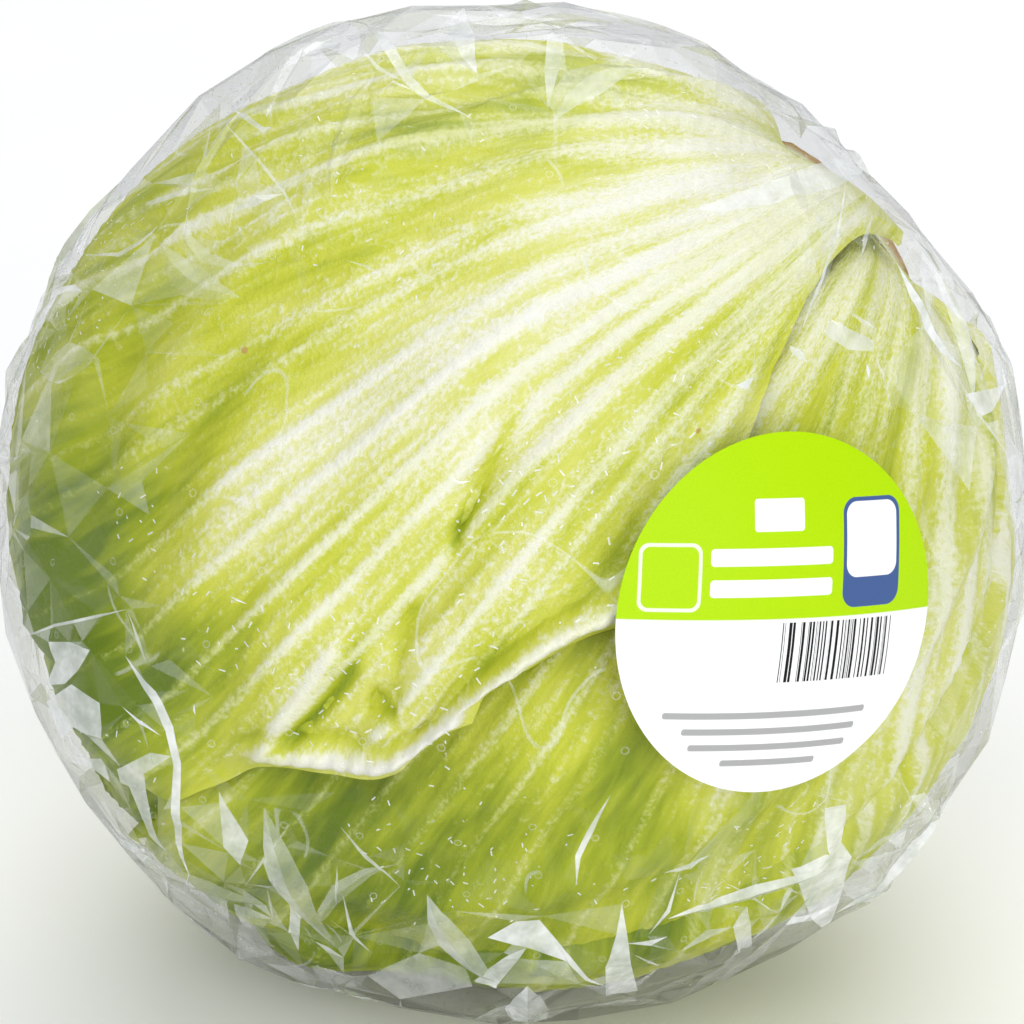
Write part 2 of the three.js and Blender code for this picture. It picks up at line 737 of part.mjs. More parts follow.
LEAVES.forEach((leaf, i) => {
  const look = leaf.name.startsWith("inner") ? looks.innerLeaf : looks.outerLeaf;
  addMesh(plant, leaf.name, leafGeometry(leaf, stack.unders[i]), look);
});
const labelCap = labelCapRadius(stack.cover);
addMesh(lettuce, "film", filmGeometry(stack.cover, labelCap), looks.film);
addMesh(lettuce, "label", labelGeometry(labelCap), looks.label);

export default lettuce;
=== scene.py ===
import itertools

import bmesh
import bpy
import numpy as np
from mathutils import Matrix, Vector
from mathutils.bvhtree import BVHTree
from mathutils.geometry import delaunay_2d_cdt


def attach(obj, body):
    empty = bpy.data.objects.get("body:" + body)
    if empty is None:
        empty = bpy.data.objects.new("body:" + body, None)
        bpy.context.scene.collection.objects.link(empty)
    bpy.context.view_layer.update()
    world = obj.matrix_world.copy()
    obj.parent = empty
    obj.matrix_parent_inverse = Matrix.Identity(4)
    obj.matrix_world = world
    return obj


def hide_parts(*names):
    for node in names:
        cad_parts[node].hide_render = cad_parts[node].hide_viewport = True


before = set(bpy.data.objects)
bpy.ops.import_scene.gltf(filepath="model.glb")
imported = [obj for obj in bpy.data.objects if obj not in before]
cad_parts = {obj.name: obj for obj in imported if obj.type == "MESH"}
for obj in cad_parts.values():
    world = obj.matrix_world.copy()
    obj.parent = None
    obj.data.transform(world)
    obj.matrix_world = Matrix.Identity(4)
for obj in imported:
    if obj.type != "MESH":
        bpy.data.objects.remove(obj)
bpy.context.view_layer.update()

MM = 0.001
DEG = np.pi / 180

# The head's own frame, as in the frame's model
CENTRE = np.array([0, 0, 70.0])
HEAD_RADIUS = 71.6  # where distances on the leaves are measured
FILM_RADIUS = 75.0  # where distances on the film are measured
LEAF_START = 14.3  # the foot of every leaf, in degrees from the stem's axis


def unit(vector):
    vector = np.asarray(vector, float)
    return vector / np.linalg.norm(vector, axis=-1, keepdims=True)


STEM_AXIS = unit([0.735, 0.4148, 0.5348])
FRONT = unit([0, -0.9063, 0.4226])
LABEL_AXIS = unit([0.495, -0.849, 0.186])
GATHER_AXIS = unit([0.05, 0.98, -0.15])
PLANT_X = unit(FRONT - FRONT.dot(STEM_AXIS) * STEM_AXIS)
PLANT_Y = np.cross(STEM_AXIS, PLANT_X)
PLANT = np.array([PLANT_X, PLANT_Y, STEM_AXIS])

# The camera: the photograph's angle
CAMERA_RISE = 25
CAMERA_DISTANCE = 980.0
CAMERA_LENS = 234.7
SENSOR = 36.0
PHOTO_SIZE = 1024
CAMERA_BACK = np.array([0, -np.cos(CAMERA_RISE * DEG), np.sin(CAMERA_RISE * DEG)])
CAMERA_RIGHT = np.array([1.0, 0, 0])
CAMERA_UP = np.cross(CAMERA_BACK, CAMERA_RIGHT)


def sight(px, py):
    """Direction from the head's centre to where the photograph's pixel falls on the film."""
    scale = SENSOR / CAMERA_LENS / PHOTO_SIZE
    across = (px - PHOTO_SIZE / 2) * scale
    up = (PHOTO_SIZE / 2 - py) * scale
    ray = unit(-CAMERA_BACK + across * CAMERA_RIGHT + up * CAMERA_UP)
    start = CAMERA_DISTANCE * CAMERA_BACK
    half = start.dot(ray)
    inside = half**2 - (CAMERA_DISTANCE**2 - FILM_RADIUS**2)
    return unit(start + ray * (-half - np.sqrt(max(0.0, inside))))


SKIN_RADIUS = 74.0  # where the ribs lie that the photograph shows
VIEW_SCALE = PHOTO_SIZE * CAMERA_LENS / SENSOR
LIMB_START = 62 * DEG  # where the head's side starts to turn away from the camera


def photo_place(d):
    """The photograph's pixel that a direction from the head's centre falls on. Behind the limb the
    same sheet is carried on round the head."""
    x, y = d @ CAMERA_RIGHT, d @ CAMERA_UP
    angle = np.arccos(np.clip(d @ CAMERA_BACK, -1, 1))

    def reach(a):
        return VIEW_SCALE * SKIN_RADIUS * np.sin(a) / (CAMERA_DISTANCE - SKIN_RADIUS * np.cos(a))

    slope = (reach(LIMB_START) - reach(LIMB_START - 0.01)) / 0.01
    out = reach(np.minimum(angle, LIMB_START)) + slope * np.maximum(0, angle - LIMB_START)
    share = out / (np.hypot(x, y) + 1e-9)
    return PHOTO_SIZE / 2 + share * x, PHOTO_SIZE / 2 - share * y


# Wrapper leaves, as in the frame's model: middle, half width, tip, corner, waves, seed and grid. The
# middle is in degrees round the stem, and the tip in degrees from its axis.
LEAVES = {
    "inner_leaf_1": dict(middle=-112, half=66, tip=196, corner=26, waves=5, seed=1.7, grid=(16, 16)),
    "inner_leaf_2": dict(middle=132, half=66, tip=192, corner=26, waves=6, seed=4.1, grid=(16, 16)),
    "inner_leaf_3": dict(middle=8, half=66, tip=190, corner=26, waves=5, seed=2.9, grid=(16, 16)),
    "back_leaf": dict(middle=-144, half=66, tip=186, corner=28, waves=7, seed=5.3, grid=(22, 18)),
    "lower_leaf": dict(middle=50, half=66, tip=182, corner=26, waves=6, seed=0.4, grid=(24, 18)),
    "right_leaf": dict(middle=126, half=63, tip=164, corner=28, waves=7, seed=3.3, grid=(22, 17)),
    "front_leaf": dict(middle=-46, half=64, tip=165, corner=24, waves=6, seed=6.1, grid=(32, 20)),
}
FINE_GRID = {
    "front_leaf": (232, 272),
    "lower_leaf": (208, 216),
    "right_leaf": (176, 184),
    "back_leaf": (176, 188),
}
INNER_GRID = (88, 96)
COARSER = 4  # the inner face of a leaf has one cell for so many of the outer face's, each way
SAME_WAY = 3e-7  # slack on the cosine between a direction and the frame's corner that lies along it
UNDER_REACH = 3.5  # degrees round a point over which what lies under a leaf is averaged
EDGE_SINK = 2.3  # how far a leaf's edge settles between the ribs of the leaf under it, in mm
FRONT_SINK = 1.2  # the same at the front leaf's lowest corner
RIGHT_DIP = 2.5  # how much deeper the right leaf's edge goes where it crosses a hollow, in mm
FRONT_DEPTH = 2.5  # how much deeper than the other leaves' dimples the front leaf's creases may go
LEAST_WALL = 0.35  # how thin a leaf may get


def smooth(low, high, x):
    t = np.clip((x - low) / (high - low), 0, 1)
    return t * t * (3 - 2 * t)


def bell(x, width):
    return np.exp(-((x / width) ** 2))


# Noise, the same on every run


def scatter(ix, iy, iz, salt):
    """Even random numbers from 0 to 1 at whole-number places."""
    n = (ix * 73856093) ^ (iy * 19349663) ^ (iz * 83492791) ^ (salt * 2971215073)
    n &= 0xFFFFFFFF
    n = ((n ^ (n >> 15)) * 0x2C1B3C6D) & 0xFFFFFFFF
    n = ((n ^ (n >> 12)) * 0x297A2D39) & 0xFFFFFFFF
    return ((n ^ (n >> 15)) & 0xFFFFFF) / float(0xFFFFFF)


def noise(points, salt):
    """Smooth noise from -1 to 1 with features a unit across, at points of shape (..., 3)."""
    cell = np.floor(points).astype(np.int64)
    t = points - cell
    t = t * t * (3 - 2 * t)
    total = 0
    for corner in itertools.product((0, 1), repeat=3):
        weight = 1
        for axis, side in enumerate(corner):
            weight = weight * (t[..., axis] if side else 1 - t[..., axis])
        places = [cell[..., axis] + side for axis, side in enumerate(corner)]
        total = total + weight * scatter(*places, salt)
    return 2 * total - 1


def plane_noise(x, y, salt):
    return noise(np.stack([x, y, np.full_like(x, 0.5)], axis=-1), salt)


def cells(x, y, salt):
    """How much further the second nearest of scattered points is than the nearest one, and a random
    number of the nearest one's own."""
    ix, iy = np.floor(x).astype(np.int64), np.floor(y).astype(np.int64)
    first, second, own = np.full(x.shape, 9.0), np.full(x.shape, 9.0), np.zeros(x.shape)
    for dx, dy in itertools.product((-1, 0, 1), repeat=2):
        cx, cy = ix + dx, iy + dy
        away = np.hypot(x - cx - 0.1 - 0.8 * scatter(cx, cy, 0, salt),
                        y - cy - 0.1 - 0.8 * scatter(cx, cy, 1, salt))
        nearer = away < first
        second = np.where(nearer, first, np.minimum(second, away))
        own = np.where(nearer, scatter(cx, cy, 2, salt), own)
        first = np.where(nearer, away, first)
    return second - first, own


# Meshes


def new_object(name, points, faces):
    """A mesh object from points in millimetres round the world's origin."""
    mesh = bpy.data.meshes.new(name)
    mesh.from_pydata((np.asarray(points) * MM).tolist(), [], faces)
    mesh.update()
    obj = bpy.data.objects.new(name, mesh)
    bpy.context.scene.collection.objects.link(obj)
    return obj


def make_object(name, points, faces, node, smooth_angle=None):
    """A piece of the lettuce or its wrap that takes a node's place, sharp where it bends more."""
    obj = new_object(name, points, faces)
    if smooth_angle is not None:
        obj.data.set_sharp_from_angle(angle=smooth_angle * DEG)
    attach(obj, "root")
    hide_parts(node)
    return obj


def add_values(obj, name, values, domain="POINT"):
    """Stores a number or a vector for every point or face of a mesh."""
    values = np.asarray(values, dtype=np.float32)
    kind = "FLOAT_VECTOR" if values.ndim == 2 else "FLOAT"
    attribute = obj.data.attributes.new(name, kind, domain)
    attribute.data.foreach_set("vector" if values.ndim == 2 else "value", values.ravel())


def grid_faces(rows, columns, at, flip=False):
    """Quads of a grid whose corner (i, j) is the point at(i, j)."""
    places = itertools.product(range(rows), range(columns))
    quads = [(at(i, j), at(i + 1, j), at(i + 1, j + 1), at(i, j + 1)) for i, j in places]
    return [(a, d, c, b) for a, b, c, d in quads] if flip else quads


def on_rings(count, first=0):
    """Numbers of the points on rings that follow each other, as at(ring, place on the ring)."""
    return lambda i, k: first + i * count + k % count


def flat_place(x, y):
    return np.stack([x, y, 0 * x], axis=-1)


def node_points(node):
    """A frame node's corners in millimetres, from the head's centre."""
    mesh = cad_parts[node].data
    flat = np.empty(3 * len(mesh.vertices), dtype=np.float32)
    mesh.vertices.foreach_get("co", flat)
    return flat.reshape(-1, 3).astype(float) / MM - CENTRE


def frame_radii(node, directions):
    """The least and the greatest radius of a frame node's corners along each direction."""
    points = node_points(node)
    radius = np.linalg.norm(points, axis=1)
    near = directions.reshape(-1, 3) @ (points / radius[:, None]).T
    hit = near > near.max(axis=1, keepdims=True) - SAME_WAY
    least = np.where(hit, radius, np.inf).min(axis=1)
    most = np.where(hit, radius, 0).max(axis=1)
    return least.reshape(directions.shape[:-1]), most.reshape(directions.shape[:-1])


def under_radius(name, directions):
    """Radius of what lies under a leaf along each direction, from the corners near it."""
    flat, best = directions.reshape(-1, 3), np.zeros(directions[..., 0].size)
    order = list(LEAVES)
    for node in ["inner_head"] + order[:order.index(name)]:
        points = node_points(node)
        radius = np.linalg.norm(points, axis=1)
        near = flat @ (points / radius[:, None]).T > np.cos(UNDER_REACH * DEG)
        best = np.maximum(best, near @ radius / np.maximum(1, near.sum(axis=1)))
    return best.reshape(directions.shape[:-1])


def spline_weights(fine, coarse):
    """Weights that take values at coarse + 1 even places to fine + 1 places on a smooth curve."""
    at = np.linspace(0, coarse, fine + 1)
    i = np.clip(np.floor(at).astype(int), 0, coarse - 1)
    t = at - i
    four = [-t + 2 * t**2 - t**3, 2 - 5 * t**2 + 3 * t**3, t + 4 * t**2 - 3 * t**3, t**3 - t**2]
    spread = np.zeros((fine + 1, coarse + 3))
    for k, weight in enumerate(four):
        spread[np.arange(fine + 1), i + k] += 0.5 * weight
    weights = spread[:, 1:-1].copy()
    weights[:, 0] += 2 * spread[:, 0]
    weights[:, 1] -= spread[:, 0]
    weights[:, -1] += 2 * spread[:, -1]
    weights[:, -2] -= spread[:, -1]
    return weights


def upsample(values, rows, columns):
    """Values on a coarse grid taken to a fine one."""
    down = spline_weights(rows, values.shape[0] - 1)
    across = spline_weights(columns, values.shape[1] - 1)
    return down @ values @ across.T


def plant_direction(theta, phi):
    """World direction at an angle theta from the stem and phi round it, in radians."""
    local = np.stack([np.sin(theta) * np.cos(phi), np.sin(theta) * np.sin(phi), np.cos(theta)], axis=-1)
    return local @ PLANT


# Leaves


def leaf_grid(rows, columns):
    v, u = np.meshgrid(np.linspace(0, 1, rows + 1), np.linspace(-1, 1, columns + 1), indexing="ij")
    return u, v


def leaf_width(v):
    """Share of its greatest width that a leaf has at v."""
    return 0.38 + 0.62 * smooth(0, 0.52, v) - 0.12 * smooth(0.62, 1, v)


def leaf_angles(leaf, u, v):
    """Angle from the stem and angle round it of a leaf's point (u, v), in radians."""
    side_wave = 1 + 0.03 * np.sin(leaf["waves"] * 2.1 * v + leaf["seed"]) * np.abs(u) ** 3
    across = u * leaf["half"] * leaf_width(v) * side_wave * DEG
    tip_wave = 2.2 * np.sin(leaf["waves"] * u * 1.7 + leaf["seed"])
    end = leaf["tip"] - leaf["corner"] * u * u + tip_wave
    along = (LEAF_START + v * (end - LEAF_START)) * DEG
    turn = np.arctan2(np.sin(across), np.cos(across) * np.sin(along))
    return np.arccos(np.cos(across) * np.cos(along)), turn + leaf["middle"] * DEG


def edge_distance(leaf, u, v):
    """How far a leaf's point is from its side edges and its tip, in mm."""
    side = (1 - np.abs(u)) * leaf["half"] * DEG * HEAD_RADIUS
    end = (1 - v) * (leaf["tip"] - LEAF_START) * DEG * HEAD_RADIUS
    return np.minimum(side, end)


RIB_SPACING = 5.4  # degrees round the stem
RIB_HEIGHT, RIB_WIDTH = 0.6, 1.55
FORK_HEIGHT, FORK_WIDTH = 0.34, 0.9
RUNG_HEIGHT = 0.2  # of the short veins that slant off the ribs
RUNG_SPACING = 4.6
FAN_BOW = 4.6e-7  # how fast the ribs bow away from the straight one, per pixel squared
FAN_REACH = 1000  # the pixel past which they bow no more
FAN_STRAIGHT = 55  # the rib that runs straight in the photograph, in degrees below the level one
FAN_MIDDLE = 42.0  # where the fan's angle is for the leaves' angle of 0 round the stem
FAN_RATE = 0.85  # how fast it grows with that angle
PIXELS_PER_MM = 6.8


def rib_courses(leaf, d, theta, phi):
    """For a leaf's points: the angle round the stem at which their rib starts, in degrees, their
    distance along it and the width of a radian there, both in mm. In front the ribs lie as in the
    photograph, behind they run straight from the stem."""
    px, py = photo_place(d)
    fan_x, fan_y = photo_place(STEM_AXIS)
    turn = np.arctan2(py - fan_y, fan_x - px) / DEG
    reach = np.hypot(px - fan_x, py - fan_y)
    seen = turn - FAN_BOW * (FAN_STRAIGHT - turn) * np.minimum(reach, FAN_REACH) ** 2
    middle = leaf["middle"] * DEG
    aside = np.arctan2(np.sin(phi - middle), np.cos(phi - middle)) / DEG
    behind = FAN_MIDDLE + FAN_RATE * (leaf["middle"] + aside)
    share = smooth(-0.3, 0.1, d @ CAMERA_BACK)
    start = share * seen + (1 - share) * behind
    along = share * reach / PIXELS_PER_MM + (1 - share) * theta * HEAD_RADIUS
    radian = share * reach / PIXELS_PER_MM + (1 - share) * HEAD_RADIUS / FAN_RATE * np.sin(theta)
    return start, along, radian


def leaf_veins(start, along, radian, salt):
    """Heights of the ribs that fan out from the foot with the forks between them, and of the short
    veins that slant off both."""
    start = start + 0.5 * np.sin(along / 17 + salt) + 0.7 * plane_noise(start / 8, along / 34, salt)
    index = np.round(start / RIB_SPACING).astype(np.int64)
    ribs, nearest = np.zeros_like(start), np.full(start.shape, 99.0)
    for step, side in itertools.product((-1, 0, 1), (-1, 0, 1)):
        k = index + step
        middle = (k + 0.5 * (scatter(k, 0, 0, salt) - 0.5)) * RIB_SPACING
        strong = 0.6 + 0.4 * scatter(k, 1, 0, salt)
        first = 26 + 34 * scatter(k, 2, side, salt)
        opened = np.clip((along - first) / 55, 0, 1)
        line = middle + side * 0.42 * RIB_SPACING * opened**0.8
        away = np.abs(start - line) * DEG * radian
        width = (FORK_WIDTH if side else RIB_WIDTH) * (1 + 0.5 * smooth(90, 30, along))
        height = (FORK_HEIGHT * (opened > 0) if side else RIB_HEIGHT) * strong
        ribs = np.maximum(ribs, height * bell(away, width))
        nearest = np.minimum(nearest, away + 9 * ((side != 0) & (opened <= 0)))
    drift = 1.2 * plane_noise(start / 6, along / 9, salt + 1)
    rung = (along - 1.6 * nearest) / RUNG_SPACING + drift + 5 * scatter(index, 0, 3, salt)
    rung = bell(rung - np.floor(rung) - 0.5, 0.14)
    patchy = smooth(-0.25, 0.35, plane_noise(start / 4, along / 16, salt + 2))
    return ribs, RUNG_HEIGHT * rung * patchy * np.exp(-nearest / 3.5), nearest


# Creases of the front leaf beside its lip: depth and width in mm, how much painted shade darkens each, and
# its course in the photograph's pixels
CREASES = {
    "long_crease": (1.0, 1.1, 0.7, [(534, 380), (505, 425), (478, 480), (455, 530), (442, 575)]),
    "slit": (1.0, 1.15, 0.8, [(352, 668), (318, 712), (290, 742), (262, 772)]),
    "pleat": (0.8, 1.7, 0.4, [(414, 600), (392, 650), (384, 700), (398, 728)]),
    "pocket": (1.7, 2.2, 0.9, [(352, 716), (374, 722), (392, 720)]),
}
SLIT_RIB = [(338, 640), (300, 690), (262, 742), (236, 786)]
LIP_HEIGHT = 1.5
LIP_WIDTH = 2.6
LIP_MIDDLE = 3.9  # from the leaf's edge, in mm
LIP_CREASE = 9.2  # the hollow behind the lip, from the leaf's edge


def course_lengths(course):
    """Distance along a course from its start to each of its points."""
    return np.concatenate([[0], np.cumsum(np.linalg.norm(np.diff(course, axis=0), axis=1))])


def course_distance(px, py, course):
    """Distance in mm from each point to a course of pixels, and the share of the course it is at."""
    course = np.array(course, float)
    lengths = course_lengths(course)
    best, at = np.full(px.shape, 1e9), np.zeros(px.shape)
    for (x0, y0), (x1, y1), begin in zip(course, course[1:], lengths):
        size = np.hypot(x1 - x0, y1 - y0)
        s = np.clip(((px - x0) * (x1 - x0) + (py - y0) * (y1 - y0)) / size**2, 0, 1)
        away = np.hypot(px - x0 - s * (x1 - x0), py - y0 - s * (y1 - y0))
        at = np.where(away < best, (begin + s * size) / lengths[-1], at)
        best = np.minimum(best, away)
    return best / PIXELS_PER_MM, at


def front_features(leaf, u, v, theta, phi, d):
    """The front leaf's rolled lip, its creases and the pocket: height, and how much of each point is
    lip, pale and in shade."""
    px, py = photo_place(d)
    turn = theta / DEG
    round_stem = np.arctan2(np.sin(phi), np.cos(phi)) / DEG
    lip_along = smooth(82, 100, turn) * smooth(152, 138, turn) * smooth(-16, 2, round_stem)
    from_edge = edge_distance(leaf, np.maximum(0, u), v)
    wrinkled = 1 + 0.16 * np.sin(px / 3.4 + 2.5 * plane_noise(px / 40, py / 40, 91))
    lip = lip_along * bell(from_edge - LIP_MIDDLE, LIP_WIDTH)
    height = LIP_HEIGHT * lip * wrinkled - lip_along * bell(from_edge - LIP_CREASE, 1.9)
    height = height - 0.5 * lip_along * bell(from_edge - 0.6, 1.2)
    shade = 0.45 * lip_along * bell(from_edge - LIP_CREASE + 0.4, 1.6)
    for deep, wide, dark, course in CREASES.values():
        away, at = course_distance(px, py, course)
        taper = smooth(-0.02, 0.2, at) * smooth(1.02, 0.8, at)
        height = height - deep * taper * bell(away, wide)
        height = height + 0.35 * deep * taper * bell(away - 3.0 * wide, 1.4 * wide)
        shade = np.maximum(shade, dark * taper * bell(away, wide))
    away, at = course_distance(px, py, SLIT_RIB)
    rib = smooth(0, 0.2, at) * bell(away, 1.5)
    height = height + 0.9 * smooth(1, 0.85, at) * rib
    return height, lip, np.maximum(lip, rib), shade


# Where a leaf is greener or paler than the rest of it: by how much, middle and size as (u, v)
FRONT_PATCHES = (
    (-0.30, (0.50, 0.42), (0.2, 0.22)),
    (-0.24, (0.36, 0.64), (0.16, 0.14)),
    (0.34, (-0.12, 0.9), (0.4, 0.16)),
    (0.08, (0.12, 0.6), (0.08, 0.14)),
    (0.16, (0.3, 0.9), (0.16, 0.1)),
    (0.12, (0.85, 0.3), (0.2, 0.12)),
    (0.26, (0.05, 0.3), (0.3, 0.12)),
    (-0.22, (0.5, 0.22), (0.3, 0.12)),
)
LOWER_PATCHES = (
    (0.16, (-0.2, 0.74), (0.3, 0.16)),
    (0.06, (0.0, 0.5), (0.2, 0.1)),
)


def patches(u, v, rows):
    return sum(share * bell(u - at[0], wide[0]) * bell(v - at[1], wide[1]) for share, at, wide in rows)


def leaf_green(name, u, v):
    """How green a leaf is, from blanched at 0 to dark at 1, before its veins."""
    if name == "front_leaf":
        green = 0.38 + 0.30 * smooth(0.4, 1, v) * smooth(0.55, -0.15, u) - 0.1 * smooth(0.24, 0.08, v)
        return green + patches(u, v, FRONT_PATCHES)
    if name == "lower_leaf":
        green = 0.50 + 0.28 * smooth(0.5, 0.85, v) - 0.10 * smooth(0.5, 0.2, v)
        return green + patches(u, v, LOWER_PATCHES)
    if name in ("right_leaf", "back_leaf"):
        green = 0.44 + 0.22 * smooth(0.3, 0.9, v) - 0.22 * smooth(0.3, 0.05, v)
        return green + 0.26 * smooth(0.78, 0.96, v)
    return 0.2 + 0.2 * smooth(0.3, 0.9, v)


def shell_faces(rows, columns, offset):
    """Faces of a closed shell: a fine outer grid, an inner grid COARSER times coarser that starts at
    offset, and the rim between them."""
    def outer(i, j):
        return i * (columns + 1) + j

    def inner(i, j):
        return offset + i * (columns // COARSER + 1) + j

    faces = grid_faces(rows, columns, outer)
    faces += grid_faces(rows // COARSER, columns // COARSER, inner, flip=True)
    rim = [(0, j) for j in range(columns)]
    rim += [(i, columns) for i in range(rows)]
    rim += [(rows, j) for j in range(columns, 0, -1)]
    rim += [(i, 0) for i in range(rows, 0, -1)]
    rim.append(rim[0])
    for start in range(0, len(rim) - 1, COARSER):
        fine = [outer(*rim[start + k]) for k in range(COARSER + 1)]
        near, far = [inner(i // COARSER, j // COARSER) for i, j in (rim[start], rim[start + COARSER])]
        middle = COARSER // 2
        for k in range(COARSER):
            faces.append((fine[k], fine[k + 1], near if k < middle else far))
        faces.append((near, fine[middle], far))
    return faces


def leaf_relief(leaf, start, along, radian, edge, v):
    """Height of a leaf's ribs and side veins, of the panels that swell between them, of a net of
    dimples and of low lumps, with the values that its colour follows."""
    across = start * DEG * HEAD_RADIUS
    ribs, branches, nearest = leaf_veins(start, along, radian, int(leaf["seed"] * 10))
    swirl = plane_noise(across / 16, along / 42, 3)
    twist = plane_noise(across / 8, along / 20, 7)
    gap, own = cells(across / 4.4 + 0.9 * twist, along / 30 + 0.6 * swirl, 6)
    wall = 1 - smooth(0.03, 0.34, gap)
    body = smooth(0, 5, edge) * smooth(0.02, 0.12, v)
    swell = 0.26 * smooth(0.6, 3.0, nearest) * (0.5 + own)
    ripples = 0.08 * np.sin(along * 2.4 + 3 * swirl + 2 * plane_noise(across / 3, along / 3, 8))
    ripples = ripples * smooth(0.25, 0.5, ribs)
    lumps = 0.5 * plane_noise(across / 15, along / 34, 2) + 0.26 * plane_noise(across / 6, along / 14, 4)
    relief = body * (ribs + branches + swell + 0.12 * wall + ripples - 0.45 + lumps)
    return relief, np.maximum.reduce([ribs / RIB_HEIGHT, 0.34 * wall, 3.8 * branches]), body, lumps


def leaf_hug(name, coarse, inner, u, v, theta):
    """How far a leaf's edge is pressed down onto what lies under it, in mm."""
    if name not in FINE_GRID:
        return 0.5
    rows, columns = u.shape[0] - 1, u.shape[1] - 1
    clear = inner - upsample(under_radius(name, coarse), rows, columns)
    if name == "front_leaf":
        return 0.5 + (np.clip(clear + FRONT_SINK, 0.5, 4) - 0.5) * smooth(138, 152, theta / DEG)
    hug = np.clip(clear + EDGE_SINK, 0, 5)
    if name == "right_leaf":
        hug = hug + RIGHT_DIP * bell(v - 0.375, 0.07) * smooth(-0.5, -0.9, u)
    return hug


def make_leaf(name):
    """A leaf between the frame's own inner and outer faces, with its relief and a frilled edge."""
    leaf = LEAVES[name]
    columns, rows = FINE_GRID.get(name, INNER_GRID)
    coarse_columns, coarse_rows = leaf["grid"]
    coarse = plant_direction(*leaf_angles(leaf, *leaf_grid(coarse_rows, coarse_columns)))
    inner, outer = (upsample(radius, rows, columns) for radius in frame_radii(name, coarse))

    u, v = leaf_grid(rows, columns)
    edge = edge_distance(leaf, u, v)
    across = u * leaf["half"] * leaf_width(v) * DEG * HEAD_RADIUS
    along = v * (leaf["tip"] - LEAF_START) * DEG * HEAD_RADIUS
    frill = bell(edge, 5) * plane_noise(across / 5, along / 5, 11)
    rounding = smooth(0.74, 1, u) * smooth(0.84, 1, v) * (name == "front_leaf")
    at_u = u * (1 + 0.010 * frill) - 0.075 * rounding
    at_v = np.clip(v * (1 + 0.007 * frill), 0, 1.01) - 0.055 * rounding
    theta, phi = leaf_angles(leaf, at_u, at_v)
    direction = plant_direction(theta, phi)

    start, along, radian = rib_courses(leaf, direction, theta, phi)
    across = start * DEG * HEAD_RADIUS
    relief, vein, body, lumps = leaf_relief(leaf, start, along, radian, edge, v)
    lip = pale = shade = 0 * u
    if name == "front_leaf":
        height, lip, pale, shade = front_features(leaf, u, v, theta, phi, direction)
        relief = relief * (1 - 0.75 * lip) + height
    thickness = (outer - inner) * (0.42 + 0.58 * smooth(0, 5, edge))
    ruffle = 0.35 * bell(edge, 4) * plane_noise(across / 4, along / 4, 12) * (1 - lip)
    hug = leaf_hug(name, coarse, inner, u, v, theta) * bell(edge, 6)
    deepest = -0.6 * thickness - (FRONT_DEPTH if name == "front_leaf" else 0)
    skin = inner + ruffle - hug + thickness + np.maximum(relief, deepest)
    lining = np.minimum(inner + ruffle - hug, skin - LEAST_WALL)

    def both(values):
        """Values for the outer face's points and then for the inner face's, which are fewer."""
        last = values.shape[2:]
        return np.concatenate([values.reshape(-1, *last), values[::COARSER, ::COARSER].reshape(-1, *last)])

    radius = np.concatenate([skin.ravel(), lining[::COARSER, ::COARSER].ravel()])
    points = both(direction) * radius[:, None] + CENTRE
    obj = make_object(name + "_blade", points, shell_faces(rows, columns, u.size), name, 60)
    # painted shade: the creases, the pocket and the hollow behind the lip are coloured darker green, with
    # their veins faded
    vein = np.clip(np.maximum(vein, 1.1 * pale), 0, 1) * (0.4 + 0.6 * body) * (1 - shade)
    green = leaf_green(name, u, v) + 0.10 * lumps + 0.5 * shade - 0.28 * pale
    add_values(obj, "place", both(flat_place(across, along)))
    add_values(obj, "vein", both(vein))
    add_values(obj, "green", both(np.clip(green, 0, 1)))
    return obj


# Materials


